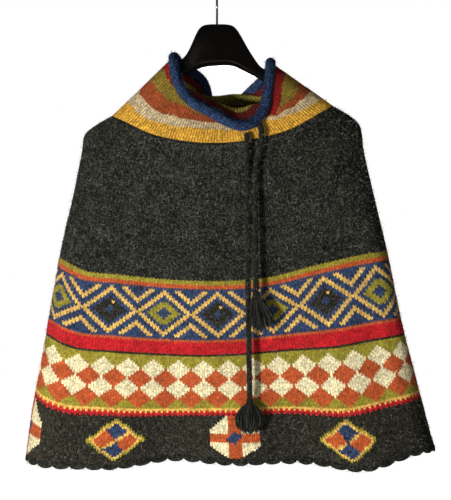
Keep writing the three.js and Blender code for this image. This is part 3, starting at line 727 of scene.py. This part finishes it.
# Counts are in stitches and rows; a middle is where a motif or row of diamonds has its middle
latticeChart = {"repeat": 18, "rows": 21, "middle": 10, "edge": (8, 9), "outer": (13, 14), "ring": (3, 5),
                "heart": 2, "dots": ((1, -3),), "lineReach": 9, "start": -3, "count": 252}
checkerChart = {"repeat": 10, "rows": 27, "levels": 4, "firstRow": 6.5, "start": 0, "count": 320}
borderChart = {
    "rows": 22,
    "count": 336,
    "middle": 9.9,
    "share": 0.94,
    "across": (-169, 30, 220),                        # the medallions in front, in mm to the right
    "others": (0.292, 0.410, 0.528, 0.645, 0.758),    # those behind, around
    "cross": {"reach": 9.8, "square": 3.1, "slope": 1.05, "bar": 2.2, "heart": 3.6, "tall": 1.3, "lean": 0.3},
    "diamond": {"reach": (11.3, 9.3), "rim": 0.90, "field": 0.79, "lean": 0.28, "line": 0.09},
}


def latticeCodes():
    chart = latticeChart
    row = np.arange(chart["rows"])[:, None]
    stitch = np.arange(chart["count"])[None, :]
    place = (stitch - chart["start"]) % (2 * chart["repeat"])
    side = (place + chart["repeat"] // 2) % chart["repeat"] - chart["repeat"] // 2
    dark = (place < chart["repeat"] / 2) | (place >= 1.5 * chart["repeat"])
    dy = row - chart["middle"]
    steps = np.abs(side) + np.abs(dy)
    codes = np.full(steps.shape, yarnCode["navy"])
    near, far = chart["ring"]
    codes[(steps >= chart["heart"]) & (steps <= far) & dark] = yarnCode["darkGrey"]
    codes[(steps >= near) & (steps <= far) & (np.abs(dy) < far) & ~dark] = yarnCode["olive"]
    for across, down in chart["dots"]:
        codes[(side == across) & (dy == down) & dark] = yarnCode["lattice"]
    short = np.abs(dy) <= chart["lineReach"]
    for low, high in (chart["edge"], chart["outer"]):
        codes[(steps >= low) & (steps <= high) & short] = yarnCode["lattice"]
    return codes


def checkerCodes():
    chart = checkerChart
    row = np.arange(chart["rows"])[:, None]
    stitch = np.arange(chart["count"])[None, :]
    codes = np.full((chart["rows"], chart["count"]), yarnCode["olive"])
    half = chart["repeat"] // 2
    for level in range(chart["levels"]):
        middle = chart["firstRow"] + level * half
        dy = np.abs(row - middle)
        place = (stitch - chart["start"] - (level % 2) * half) % chart["repeat"]
        dx = np.minimum(place, chart["repeat"] - place)
        codes[dx + dy < half] = yarnCode["rust" if level % 2 else "cream"]
    return codes


def crossCodes(dx, dy):
    cross = borderChart["cross"]
    pointed = cross["reach"] - (np.abs(dy) - cross["square"]) * cross["slope"]
    wide = np.where(np.abs(dy) <= cross["square"], cross["reach"], pointed)
    yarn = np.where(np.abs(dx) <= wide, yarnCode["cream"], -1)
    inside = yarn >= 0
    yarn[inside & ((np.abs(dx) <= cross["bar"]) | (np.abs(dy) <= cross["bar"]))] = yarnCode["rust"]
    heart = np.abs(dx) + cross["tall"] * np.abs(dy + cross["lean"] * dx)
    yarn[inside & (heart <= cross["heart"])] = yarnCode["navy"]
    return yarn


def diamondCodes(dx, dy):
    diamond = borderChart["diamond"]
    across, down = dx / diamond["reach"][0], dy / diamond["reach"][1]
    size = np.abs(across) + np.abs(down)
    across = across + diamond["lean"] * down
    steep = np.abs(across) - np.abs(down)
    yarn = np.full(size.shape, -1)
    yarn[size <= 1.0] = yarnCode["olive"]
    yarn[size <= diamond["rim"]] = yarnCode["edgeYellow"]
    inner = size <= diamond["field"]
    yarn[inner & (steep >= 0)] = yarnCode["rust"]
    yarn[inner & (steep < 0)] = yarnCode["navy"]
    yarn[inner & (np.abs(steep) < diamond["line"]) & (across * down < 0)] = yarnCode["edgeYellow"]
    return yarn


def borderCodes(middles):
    chart = borderChart
    row, stitch = np.meshgrid(np.arange(chart["rows"]), np.arange(chart["count"]), indexing="ij")
    codes = plainChart(chart["rows"], chart["count"], "darkGrey")
    for n, middle in enumerate(middles):
        dx = wrap((stitch + 0.5) / chart["count"] - middle) * chart["count"]
        dy = row + 0.5 - chart["middle"]
        motif = crossCodes(dx, dy) if n % 2 else diamondCodes(dx, dy)
        codes = np.where(motif >= 0, motif, codes)
    return codes


def teethCodes(count):
    even = np.arange(count) % 2 == 0
    yellow, red, dark = (yarnCode[name] for name in ("edgeYellow", "red", "darkGrey"))
    return np.stack([np.full(count, yellow), np.where(even, yellow, red), np.full(count, red),
                     np.where(even, red, dark)])


bodyGrid = sagged(makeBodyGrid())
bodyNormals = gridNormals(bodyGrid)


def bodyAt(share, around, out=0.0):
    row = np.asarray(share, float) * (body["gridRows"] - 1)
    around = np.asarray(around, float)
    return gridAt(bodyGrid, row, around) + out * unit(gridAt(bodyNormals, row, around))


# The place round a ring where its front reaches a distance to the viewer's right
def aroundAtAcross(share, across):
    turns = np.linspace(-0.24, 0.24, 400)
    return np.interp(across, bodyAt(np.full(len(turns), share), turns)[:, 0], turns)


def medallionMiddles():
    front = [float(aroundAtAcross(borderChart["share"], across)) for across in borderChart["across"]]
    return front + list(borderChart["others"])


knit = {
    # shade, per column of a stitch, and the darkening where rows meet are painted shade, with painted
    # highlight on the legs
    "plain": {"slant": 0.72, "wander": 0.05, "height": 0.95, "pinch": 0.35, "plump": 0.22,
              "legs": (-0.25, 1.0, 0.05, 1.0), "straightTop": False, "straightBottom": False,
              "shade": (0.38, 1.12, 0.70, 1.12), "gap": 0.72},
    "fine": {"shade": (0.62, 1.08, 0.84, 1.08), "gap": 0.86},   # in the patterned bands, lighter painted shade
    "tuck": 0.9,
    "stripeRows": 4,     # the stripes over the lattice
    "stripeRow": 0.82,   # and how tall their rows are beside the others
    "levels": (0.4365, 0.6688, 0.8714, 1.0),   # shares where the patterned bands meet
    "plainZones": ((0.000, 0.060, 7, 156), (0.060, 0.170, 12, 172),   # from and to a share, rows, stitches
                   (0.170, 0.310, 15, 184), (0.310, 0.4365, 14, 196)),
}


# The body's zones from the neck down: kind, the shares where it starts and ends, and its chart
def makeZones():
    plain = [("plain", top, bottom, plainChart(rows, count, "charcoal"))
             for top, bottom, rows, count in knit["plainZones"]]
    wide, fine = latticeChart["count"], checkerChart["count"]
    lattice = np.concatenate([plainChart(2, wide, "olive"), plainChart(2, wide, "rust"), latticeCodes(),
                              plainChart(1, wide, "rust"), plainChart(5, wide, "red")])
    checker = np.concatenate([plainChart(1, fine, "darkGrey"), checkerCodes(), teethCodes(fine)])
    border = borderCodes(medallionMiddles())
    levels = knit["levels"]
    return plain + list(zip(("lattice", "checker", "border"), levels, levels[1:], (lattice, checker, border)))


zones = makeZones()
bodyPieces = {
    # piece: the zones it holds, its material and its slot
    "body_shoulders": ((0, 1), "charcoalWool", "charcoal_wool"),
    "body_chest": ((2, 3), "charcoalWool", "charcoal_wool"),
    "body_lattice": ((4,), "patternWool", "striped_wool"),
    "body_checker": ((5,), "patternWool", "striped_wool"),
    "body_border": ((6,), "patternWool", "striped_wool"),
}


def zonePatch(number):
    kind, top, bottom, codes = zones[number]
    weights = np.ones(len(codes))
    if kind == "lattice":
        weights[:knit["stripeRows"]] = knit["stripeRow"]
    shares = np.concatenate([[0], np.cumsum(weights) / weights.sum()])
    rows = (top + (bottom - top) * shares) * (body["gridRows"] - 1)
    relief = dict(knit["plain"], straightTop=number == 0, straightBottom=number == len(zones) - 1)
    if kind != "plain":
        relief.update(knit["fine"])
    if number:
        rowStep = rows[1] - rows[0]
        rows = np.concatenate([[rows[0] - rowStep], rows])
        codes = np.concatenate([codes[:1], codes])
    return knitPatch(bodyGrid, rows, codes.shape[1], codes, relief, 100 + number,
                     tuck=knit["tuck"] if number else 0.0)


# The cloth's wrong side: plain, in each zone's mean colour
wrongSide = {"everyRow": 5, "everyColumn": 6, "depth": 2.7, "tone": 0.8, "seed": 7}


def insidePatch():
    everyRow, everyColumn = wrongSide["everyRow"], wrongSide["everyColumn"]
    inner = (bodyGrid - bodyNormals * wrongSide["depth"])[::everyRow, ::everyColumn][:, ::-1]
    shares = np.linspace(0, 1, body["gridRows"])[::everyRow]
    middles = (shares[1:] + shares[:-1]) / 2
    random = np.random.default_rng(wrongSide["seed"])
    colours = np.zeros((len(middles), inner.shape[1], 3))
    for n, share in enumerate(middles):
        codes = next(codes for _, _, bottom, codes in zones if share <= bottom)
        mix = yarnColours[codes].mean((0, 1)) * wrongSide["tone"]
        colours[n] = mix * random.uniform(0.85, 1.15, (inner.shape[1], 1))
    return bandPatch(inner, colours)


def makeBody():
    for name, (numbers, look, slot) in bodyPieces.items():
        addPiece(name, joined([zonePatch(n) for n in numbers]), look)
        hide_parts("body")
        print(name, "knitted")
    inside = addPiece("body_inside", insidePatch(), "charcoalWool")
    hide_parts("body")


makeBody()


# The scalloped edging along the hem
edging = {
    "scallops": 56,
    "steps": 12,
    "drop": 5.5,
    "lobe": 4.6,
    "roundness": 0.7,
    "uneven": 0.45,
    "fan": 0.5,
    "fans": 6,    # rays in one scallop
    "seeds": (51, 52),
    # across the edging: share of its drop, how far out it stands, how much of the fan shows
    "section": ((-0.3, 0.0, 0), (-0.05, 1.1, 0.4), (0.25, 1.5, 1), (0.6, 1.3, 1), (0.88, 0.7, 1),
                (1.0, -0.5, 0.3), (0.9, -1.9, 0.2), (0.6, -2.6, 0.5), (0.2, -2.9, 0.2), (-0.1, -2.7, 0)),
}


def edgingPatch():
    columns = edging["scallops"] * edging["steps"]
    turn = np.arange(columns) / columns
    last = np.ones(columns)
    edge = bodyAt(last, turn)
    normal = unit(gridAt(bodyNormals, last * (body["gridRows"] - 1), turn))
    down = unit(edge - bodyAt(last - 0.006, turn))
    phase = turn * edging["scallops"]
    swing = 1 + edging["uneven"] * softNoise(3, columns, 1, edging["scallops"] // 2, edging["seeds"][1])[1]
    lobe = np.abs(np.sin(math.pi * phase)) ** edging["roundness"]
    drop = edging["drop"] + edging["lobe"] * swing * lobe
    fan = edging["fan"] * np.cos(2 * math.pi * phase * edging["fans"])
    points = np.stack([edge + down * (drop * along)[:, None] + normal * (out + fan * ribbed)[:, None]
                       for along, out, ribbed in edging["section"]])
    random = np.random.default_rng(edging["seeds"][0])
    tone = random.uniform(0.7, 1.35, (len(points) - 1, columns, 1))
    return bandPatch(points, yarnColours[yarnCode["darkGrey"]] * tone)


hem = addPiece("hem_scallops", edgingPatch(), "charcoalWool")
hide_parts("hem_edging")
print("hem edged")


# The collar: from the body's neck edge over its crest to the rolled rim
collar = {
    "edge": np.array((
        # around, then across, depth and height of the rim's middle, then the same of the crest
        (-0.25, -73, 0, -105, -100, 0, -131), (-0.215, -73, -20, -119, -97, -19, -144),
        (-0.18, -66, -33, -152, -72, -26, -152), (-0.11, -44, -47, -184, -47, -26, -161),
        (-0.04, -6, -58, -207, -8, -24, -180), (0.02, 24, -65, -224, 20, -22, -190),
        (0.055, 42, -67, -229, 38, -23, -192), (0.09, 60, -60, -222, 55, -25, -187),
        (0.13, 79, -45, -196, 78, -30, -182), (0.165, 85, -36, -166, 95, -34, -176),
        (0.215, 90, -21, -128, 115, -21, -149), (0.25, 91, 0, -115, 119, 0, -134),
        (0.285, 89, 20, -126, 114, 20, -147), (0.34, 68, 44, -150, 87, 42, -163),
        (0.43, 28, 64, -182, 28, 31, -163), (0.54, -10, 66, -185, -10, 31, -166),
        (0.65, -26, 49, -140, -51, 46, -160), (0.715, -63, 24, -114, -92, 22, -142),
    )),
    "stripes": np.array((
        # around, then the share of the collar's height where each yarn after the mustard starts
        (-0.25, 0.25, 0.46, 0.65, 0.875), (-0.205, 0.235, 0.435, 0.69, 0.915),
        (-0.18, 0.225, 0.433, 0.71, 0.96), (-0.14, 0.24, 0.43, 0.70, 1.02), (-0.10, 0.23, 0.385, 0.585, 1.02),
        (-0.06, 0.245, 0.37, 0.50, 0.90), (0.02, 0.235, 0.36, 0.50, 0.70), (0.075, 0.27, 0.37, 0.42, 0.50),
        (0.104, 0.36, 0.42, 0.44, 0.45), (0.123, 0.385, 0.48, 0.51, 0.52), (0.15, 0.39, 0.54, 0.65, 0.67),
        (0.167, 0.30, 0.46, 0.62, 0.72), (0.188, 0.235, 0.40, 0.55, 0.785), (0.212, 0.19, 0.385, 0.53, 0.815),
        (0.237, 0.20, 0.385, 0.60, 0.818), (0.26, 0.215, 0.39, 0.62, 0.82), (0.5, 0.25, 0.40, 0.55, 0.80),
    )),
    "stripesInside": np.array((
        (-0.25, 0.25, 0.46, 0.65, 0.86), (-0.12, 0.25, 0.42, 0.58, 0.76), (0.0, 0.25, 0.40, 0.55, 0.745),
        (0.12, 0.25, 0.40, 0.56, 0.74), (0.25, 0.22, 0.40, 0.60, 0.80), (0.38, 0.25, 0.39, 0.53, 0.84),
        (0.5, 0.25, 0.38, 0.50, 0.90), (0.62, 0.25, 0.40, 0.55, 0.88),
    )),
    "yarns": ("mustard", "pale", "collarRust", "collarOlive", "collarRed"),
    "yarnsInside": ("mustard", "pale", "collarRust", "insideOlive", "collarRed"),
    "ribs": (176, 104),   # outside, inside
    "rows": (32, 28),
    "gridColumns": 520,
    "gridRows": 61,
    "rimRadius": 8.2,
    "rimSeat": 8.8,
    "rimClearance": 11.6,
    "intoRim": 2.0,
    "crestRounding": 14,
    "crestShares": (0.45, 0.9),   # the most of the way to the base and to the rim that it takes
    "crestSteps": 30,
    "seam": 0.3,
    "inset": 2.8,
    "insideShade": 0.5,   # painted shade: the collar's inside is darker, as shade falls in it
    "uneven": (5, 34, 61, 0.5),   # cells down and around, seed, size
    "seeds": (71, 72),
    # the relief's shade and the darkening where rows meet are painted shade in the rib grooves, with painted
    # highlight on the legs
    "relief": {"slant": 0.6, "wander": 0.05, "height": 0.8, "pinch": 0.7, "plump": 0.2,
               "legs": (-1.5, 1.0, 0.45, 1.0), "straightTop": True, "straightBottom": False,
               "shade": (0.25, 1.12, 0.92, 1.12), "gap": 0.95},
}


def edgeAt(around):
    return closedRead(collar["edge"][:, 0], collar["edge"][:, 1:], around)


rimLoop = edgeAt(np.arange(112) / 112)[:, :3]


def nearestOnRim(points):
    start = rimLoop
    step = np.roll(rimLoop, -1, 0) - rimLoop
    t = ((points[:, None] - start[None]) * step[None]).sum(2) / (step * step).sum(1)[None]
    spots = start[None] + np.clip(t, 0, 1)[..., None] * step[None]
    away = np.linalg.norm(points[:, None] - spots, axis=2)
    best = away.argmin(1)
    return spots[np.arange(len(points)), best], away.min(1)


def evenly(points, count):
    lengths = np.concatenate([[0], np.cumsum(np.linalg.norm(np.diff(points, axis=0), axis=1))])
    at = np.linspace(0, lengths[-1], count)
    return np.stack([np.interp(at, lengths, points[:, n]) for n in range(3)], 1)


def collarProfile(base, around):
    place = edgeAt(np.array([around]))[0]
    rim, crest = place[:3], place[3:]
    toBase = np.linalg.norm(base - crest)
    toRim = np.linalg.norm(rim - crest)
    ofBase, ofRim = collar["crestShares"]
    rounding = min(collar["crestRounding"], ofBase * toBase, ofRim * toRim)
    turnIn = crest + (base - crest) / toBase * rounding
    turnOut = crest + (rim - crest) / toRim * rounding
    t = np.linspace(0, 1, collar["crestSteps"])[:, None]
    curve = (1 - t) ** 2 * turnIn + 2 * t * (1 - t) * crest + t * t * turnOut
    points = evenly(np.concatenate([[base], curve, [rim]]), collar["gridRows"])
    away = nearestOnRim(points)[1]
    while len(points) > 2 and away[len(points) - 1] < collar["rimSeat"]:
        points = points[:-1]
    near, away = nearestOnRim(points)
    close = (away < collar["rimClearance"]) & (np.arange(len(points)) < len(points) - 1)
    points[close] = near[close] + unit(points[close] - near[close]) * collar["rimClearance"]
    return evenly(points, collar["gridRows"])


def makeCollarGrid():
    turns = np.arange(collar["gridColumns"]) / collar["gridColumns"]
    top = bodyAt(np.zeros(len(turns)), turns)
    lower = bodyAt(np.full(len(turns), 0.006), turns)
    bases = top + unit(top - lower) * collar["seam"]
    profiles = [collarProfile(base, turn)[::-1] for base, turn in zip(bases, turns)]
    grid = np.stack(profiles, 1)
    smoothings = 3
    for _ in range(smoothings):
        middle = (np.roll(grid, 1, 1) + np.roll(grid, -1, 1) + 2 * grid) / 4
        grid[1:-1] = middle[1:-1]
    *cells, size = collar["uneven"]
    uneven = size * softNoise(*grid.shape[:2], *cells) * np.sin(np.linspace(0, math.pi, len(grid)))[:, None]
    grid = grid + gridNormals(grid) * uneven[..., None]
    near = nearestOnRim(grid[0])[0]
    tucked = near + unit(grid[0] - near) * (collar["rimRadius"] - collar["intoRim"])
    return np.concatenate([tucked[None], grid])


collarGrid = makeCollarGrid()


def collarCodes(inside):
    rows, ribs = collar["rows"][inside], collar["ribs"][inside]
    share = 1 - (np.arange(rows) + 0.5)[:, None] / rows
    around = (np.arange(ribs) + 0.5) / ribs
    around = 1 - around if inside else around
    table = collar["stripesInside" if inside else "stripes"]
    starts = closedRead(table[:, 0], table[:, 1:], around).T
    stripe = (share[None] > starts[:, None, :]).sum(0)
    return np.array([yarnCode[name] for name in collar["yarnsInside" if inside else "yarns"]])[stripe]


def collarPatch(inside):
    grid = collarGrid
    if inside:
        grid = (collarGrid - gridNormals(collarGrid) * collar["inset"])[:, ::-1]
    rows = np.linspace(0, len(grid) - 1, collar["rows"][inside] + 1)
    # the inside's colours get painted shade on top of the stitches' painted shade
    shade = np.array(collar["relief"]["shade"]) * (collar["insideShade"] if inside else 1)
    relief = dict(collar["relief"], shade=shade)
    return knitPatch(grid, rows, collar["ribs"][inside], collarCodes(inside), relief, collar["seeds"][inside])


collarOutside = addPiece("collar_outside", collarPatch(False), "collarWool")
collarInside = addPiece("collar_inside", collarPatch(True), "collarWool")
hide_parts("collar")
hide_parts("collar")


print("collar made")


# The rolled rim: the wrong side of the knit, rows of bumps round a tube
rim = {
    "stitches": 150,
    "ridges": 12,
    "bump": 1.2,
    "sunk": 0.4,       # the bumps' middle lies below the roll's radius
    "swell": 0.5,
    "rough": 0.3,
    "twist": 0.25,
    "twists": 3,
    "seeds": (81, 82),
}


def rimPatch():
    random = np.random.default_rng(rim["seeds"][0])
    steps, sides = rim["stitches"] * 4, rim["ridges"] * 2
    path = edgeAt(np.arange(steps) / steps)[:, :3]
    along = unit(np.roll(path, -1, 0) - np.roll(path, 1, 0))
    outward = path - path.mean(0)
    outward = unit(outward - along * (outward * along).sum(1)[:, None])
    upward = np.cross(outward, along)
    turn = np.arange(steps)[:, None] / 4
    ridge = np.arange(sides)[None, :] / 2
    bump = rim["bump"] * np.cos(2 * math.pi * turn) * np.cos(2 * math.pi * ridge)
    swell = rim["swell"] * softNoise(steps, sides, 30, 5, rim["seeds"][1])
    radius = collar["rimRadius"] - rim["sunk"] + bump + swell + random.normal(0, rim["rough"], bump.shape)
    twist = rim["twist"] * np.sin(2 * math.pi * np.arange(steps)[:, None] / steps * rim["twists"])
    angle = ridge / rim["ridges"] * 2 * math.pi + twist
    ring = outward[:, None] * np.cos(angle)[..., None] + upward[:, None] * np.sin(angle)[..., None]
    points = path[:, None] + ring * radius[..., None]
    # the roll's colour is lighter on the raised bumps and darker between them: painted highlight and painted
    # shade over random tone
    tone = random.uniform(0.25, 1.35, (steps, sides, 1)) * (1 + 0.40 * bump[..., None])
    patch = bandPatch(np.concatenate([points, points[:1]]), yarnColours[yarnCode["navy"]] * tone)
    patch["points"] = points.reshape(-1, 3)
    patch["quads"] = patch["quads"] % len(patch["points"])
    return patch


rimPiece = addPiece("collar_roll", rimPatch(), "rimWool")
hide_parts("collar_rim")
print("rim rolled")


# Loose fibres that lie over the wool and stand off its edges
fuzz = {
    "length": (4.0, 11.0),
    "width": 0.46,
    "points": 3,
    "lift": 0.35,      # how steeply the flattest ones rise
    "steeper": 1.3,
    "greys": srgb(120, 122, 114),
    "grey": 0.03,      # yarns darker than this get grey fibres
    "hemDrop": 8,
    "hemLean": 0.8,    # how far the hem's fibres lean down
    # how many fibres, and their seed
    "body": (29000, 91),
    "collar": (2600, 93),
    "rim": (2200, 94),
    "long": (900, 95),
    "short": (600, 97),
    "hem": (1500, 98),
}


def fuzzPatch(roots, normals, colours, seed):
    random = np.random.default_rng(seed)
    count = len(roots)
    length = random.uniform(*fuzz["length"], (count, 1)) * random.uniform(0.5, 1, (count, 1))
    side = unit(np.cross(normals, random.normal(0, 1, (count, 3))))
    rise = random.uniform(0, 1, (count, 1)) ** 3 * fuzz["steeper"] + fuzz["lift"]
    start = unit(side + normals * rise)
    turned = unit(np.cross(start, normals) + normals * random.normal(0, 0.35, (count, 1)))
    curl = random.normal(0, 2.0, (count, 1)) + 0.01
    t = np.linspace(0, 1, fuzz["points"])
    middle = []
    for u in t:
        along = start * np.sin(curl * u) / curl + turned * (1 - np.cos(curl * u)) / curl
        middle.append(roots + normals * 0.4 + length * along)
    width = fuzz["width"] * random.uniform(0.6, 1.2, (count, 1))
    flat = unit(np.cross(start, normals + random.normal(0, 0.4, (count, 3))))
    taper = np.interp(t, (0, 0.4, 1), (0.8, 1, 0.15)) / 2
    points = np.stack([np.stack([m - flat * width * w, m + flat * width * w], 1)
                       for m, w in zip(middle, taper)], 1)
    index = np.arange(count * fuzz["points"] * 2).reshape(count, fuzz["points"], 2)
    upper, lower = index[:, :-1], index[:, 1:]
    quads = np.stack([upper[..., 0], lower[..., 0], lower[..., 1], upper[..., 1]], -1).reshape(-1, 4)
    shown = np.repeat(colours * random.uniform(0.6, 1.35, (count, 1)), (fuzz["points"] - 1) * 4, 0)
    return {"points": points.reshape(-1, 3), "quads": quads, "colours": shown.reshape(-1, 4, 3)}


def bodyFuzz(count, seed):
    random = np.random.default_rng(seed)
    share, around = random.uniform(0.01, 0.995, count), random.uniform(0, 1, count)
    roots = bodyAt(share, around, 0.5)
    row = share * (body["gridRows"] - 1)
    normals = unit(gridAt(bodyNormals, row, around))
    colours = np.zeros((count, 3))
    for _, top, bottom, codes in zones:
        here = (share >= top) & (share < bottom)
        down = ((share[here] - top) / (bottom - top) * len(codes)).astype(int)
        over = (around[here] * codes.shape[1]).astype(int)
        colours[here] = yarnColours[codes[down, over]]
    grey = colours.max(1) < fuzz["grey"]
    colours = np.clip(colours * 1.1, 0, 1)
    colours[grey] = np.array(fuzz["greys"])
    return fuzzPatch(roots, normals, colours, seed + 1)


def gridFuzz(grid, codes, count, seed, out=0.6):
    random = np.random.default_rng(seed)
    share, around = random.uniform(0, 1, count), random.uniform(0, 1, count)
    place = share * (len(grid) - 1)
    normals = unit(gridAt(gridNormals(grid), place, around))
    roots = gridAt(grid, place, around) + normals * out
    down = np.minimum((share * len(codes)).astype(int), len(codes) - 1)
    over = (around * codes.shape[1]).astype(int)
    return fuzzPatch(roots, normals, yarnColours[codes[down, over]] * 1.15, seed + 1)


def cordFuzz(path, count, seed):
    grid = tubeGrid(path, cords["width"] / 2, 24)
    patch = gridFuzz(grid, plainChart(1, 1, "charcoal"), count, seed, 0.0)
    tone = np.random.default_rng(seed).uniform(0.6, 1.2, (len(patch["quads"]), 1, 1))
    patch["colours"] = np.array(fuzz["greys"]) * np.broadcast_to(tone, (*tone.shape[:1], 4, 3))
    return patch


def hemFuzz(count, seed):
    turn = np.random.default_rng(seed).uniform(0, 1, count)
    last = np.ones(count)
    normals = unit(gridAt(bodyNormals, last * (body["gridRows"] - 1), turn) + (0, 0, -fuzz["hemLean"]))
    roots = bodyAt(last, turn) + (0, 0, -fuzz["hemDrop"])
    return fuzzPatch(roots, normals, np.tile(fuzz["greys"], (count, 1)), seed + 1)


def makeFuzz():
    addPiece("loose_fibres_body", bodyFuzz(*fuzz["body"]), "looseFibre")
    rimTube = tubeGrid(edgeAt(np.arange(200) / 200)[:, :3], collar["rimRadius"], 24)
    trim = [
        gridFuzz(collarGrid, collarCodes(False), *fuzz["collar"]),
        gridFuzz(rimTube, plainChart(1, 1, "navy"), *fuzz["rim"], 0.2),
        cordFuzz(cordPaths["long"], *fuzz["long"]),
        cordFuzz(cordPaths["short"], *fuzz["short"]),
        hemFuzz(*fuzz["hem"]),
    ]
    addPiece("loose_fibres_trim", joined(trim), "looseFibre")


makeFuzz()
print("fibres laid")


# The hanger: one smooth moulded bar with a bell-shaped neck, an arch under it and a lip along the arch
hanger = {
    "sections": np.array((
        # across, top, bottom, half depth
        (-206, -238, -250, 7), (-200, -230, -252, 11), (-178, -213.5, -238, 12), (-128, -165, -194, 11),
        (-90, -129, -158, 9), (-73, -115.5, -143, 8), (-56, -108, -136, 9), (-45, -90, -131, 10),
        (-36, -66, -127, 11), (-28, -53, -124, 12), (-14, -50, -122, 13), (16, -50, -120, 13),
        (30, -53, -122, 12), (40, -68, -127, 11), (54, -94, -134, 10), (74, -124, -144, 9),
        (92, -130, -158, 8), (120, -143, -172, 9), (160, -170, -199, 11), (197, -196, -222, 12),
        (219, -213, -236, 11), (226, -221, -234, 7),
    )),
    "sides": 48,
    "steps": 160,
    "squareness": 0.62,
    "neckWidth": 70,
    "lipShare": 0.13,
    "lipDepth": 1.4,
    "lipWidth": 0.05,
}


def squared(value):
    return np.sign(value) * np.abs(value) ** hanger["squareness"]


def hangerPatch():
    table = hanger["sections"]
    across = np.linspace(table[0, 0], table[-1, 0], hanger["steps"])
    read = np.stack([np.interp(across, table[:, 0], table[:, n]) for n in (1, 2, 3)], 1)
    soft = np.ones(5) / 5
    padded = np.pad(read, ((2, 2), (0, 0)), mode="edge")
    read = np.stack([np.convolve(padded[:, n], soft, "valid") for n in range(3)], 1)
    top, bottom, depth = read.T
    angle = -np.arange(hanger["sides"]) / hanger["sides"] * 2 * math.pi
    height = (top + bottom)[:, None] / 2 + (top - bottom)[:, None] / 2 * squared(np.sin(angle))[None, :]
    low = (height - bottom[:, None]) / (top - bottom)[:, None]
    neck = np.exp(-(across / hanger["neckWidth"]) ** 2)[:, None]
    lip = hanger["lipDepth"] * neck * np.exp(-((low - hanger["lipShare"]) / hanger["lipWidth"]) ** 2)
    y = depth[:, None] * squared(np.cos(angle))[None, :]
    y = y + np.sign(y) * lip
    grid = np.stack([np.broadcast_to(across[:, None], y.shape), y, height], -1)
    tips = [ring * (1, 0.5, 1) * 0.5 + ring.mean(0) * 0.5 for ring in (grid[0], grid[-1])]
    whole = np.concatenate([tips[:1], grid, tips[1:]])
    return {"points": whole.reshape(-1, 3), "quads": bandFaces(*whole.shape[:2])}


hangerPiece = addPiece("hanger_bar", hangerPatch(), "hangerPlastic")
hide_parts("hanger")

hook = {
    "wire": 3.6,
    "radius": 20,
    "stem": (-66, -49),      # heights it starts and ends at
    "bend": (-55, 200),      # the loop's first and last angle
    "stations": 160,
    "sides": 16,
    "tip": ((0, 0.985, 0.995, 1), (1, 1, 0.8, 0.05)),   # share along, part of the radius
}


def hookPatch():
    ring = hook["radius"] + hook["wire"] / 2
    angle = np.radians(np.linspace(*hook["bend"], 18))
    curve = np.stack([0 * angle, ring * np.cos(angle), -hook["radius"] + ring * np.sin(angle)], 1)
    stem = np.stack([np.zeros(4), np.zeros(4), np.linspace(*hook["stem"], 4)], 1)
    points = np.concatenate([stem, curve])
    lengths = np.concatenate([[0], np.cumsum(np.linalg.norm(np.diff(points, axis=0), axis=1))])
    path = cubicRead(lengths, points, np.linspace(0, lengths[-1], hook["stations"]))
    radius = hook["wire"] / 2 * np.interp(np.linspace(0, 1, len(path)), *hook["tip"])
    grid = tubeGrid(path, radius, hook["sides"], (1, 0, 0))
    return {"points": grid.reshape(-1, 3), "quads": bandFaces(*grid.shape[:2])}


hookPiece = addPiece("hook_wire", hookPatch(), "hookSteel")
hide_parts("hanger_hook")
print("hanger made")


# Pale studio: a wide plain floor under an even white surround, two lamps in front and a soft one behind
def makeStage():
    reach, height = 9000, -1500
    points = [(x, y, height) for x, y in ((-reach, -reach), (reach, -reach), (reach, reach), (-reach, reach))]
    mesh = bpy.data.meshes.new("studioFloor")
    mesh.from_pydata([Vector(p) * mm for p in points], [], [(0, 1, 2, 3)])
    material, tree, shader = newMaterial("studioPaper")
    # Camera rays see it plain white, as the photo's surround is
    noise = addNode(tree, "ShaderNodeTexNoise", Scale=3.0)
    tone = addNode(tree, "ShaderNodeMapRange", Value=noise.outputs["Fac"], To_Min=0.80, To_Max=0.84)
    tree.links.new(tone.outputs[0], shader.inputs["Base Color"])
    shader.inputs["Roughness"].default_value = 0.9
    seen = addNode(tree, "ShaderNodeLightPath")
    glow = addNode(tree, "ShaderNodeMapRange", Value=seen.outputs["Is Camera Ray"], To_Min=0.0, To_Max=1.0)
    tree.links.new(glow.outputs[0], shader.inputs["Emission Strength"])
    shader.inputs["Emission Color"].default_value = (1, 1, 1, 1)
    mesh.materials.append(material)
    floor = bpy.data.objects.new("studioFloor", mesh)
    bpy.context.scene.collection.objects.link(floor)


def makeLights():
    target = Vector(lights["aim"]) * mm
    for name in ("key", "fill", "back"):
        setting = lights[name]
        data = bpy.data.lights.new(name, "AREA")
        data.size = setting["size"] * mm
        data.energy = setting["power"]
        data.color = setting["colour"]
        light = bpy.data.objects.new(name, data)
        light.location = Vector(setting["at"]) * mm
        light.rotation_euler = (target - light.location).to_track_quat("-Z", "Y").to_euler()
        bpy.context.scene.collection.objects.link(light)
    world = bpy.data.worlds.new("studio")
    world.use_nodes = True
    sky = world.node_tree.nodes["Background"]
    sky.inputs["Color"].default_value = (1, 1, 1, 1)
    seen = addNode(world.node_tree, "ShaderNodeLightPath")
    glow = addNode(world.node_tree, "ShaderNodeMapRange", Value=seen.outputs["Is Camera Ray"],
                   To_Min=lights["world"], To_Max=1.0)
    world.node_tree.links.new(glow.outputs[0], sky.inputs["Strength"])
    bpy.context.scene.world = world
    bpy.context.scene.view_settings.view_transform = "Standard"


makeStage()
makeLights()
print("studio lit")

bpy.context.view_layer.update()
meshes = [piece.data for piece in bpy.data.objects if piece.type == "MESH"]
print("triangles", sum(len(mesh.loops) - 2 * len(mesh.polygons) for mesh in meshes))
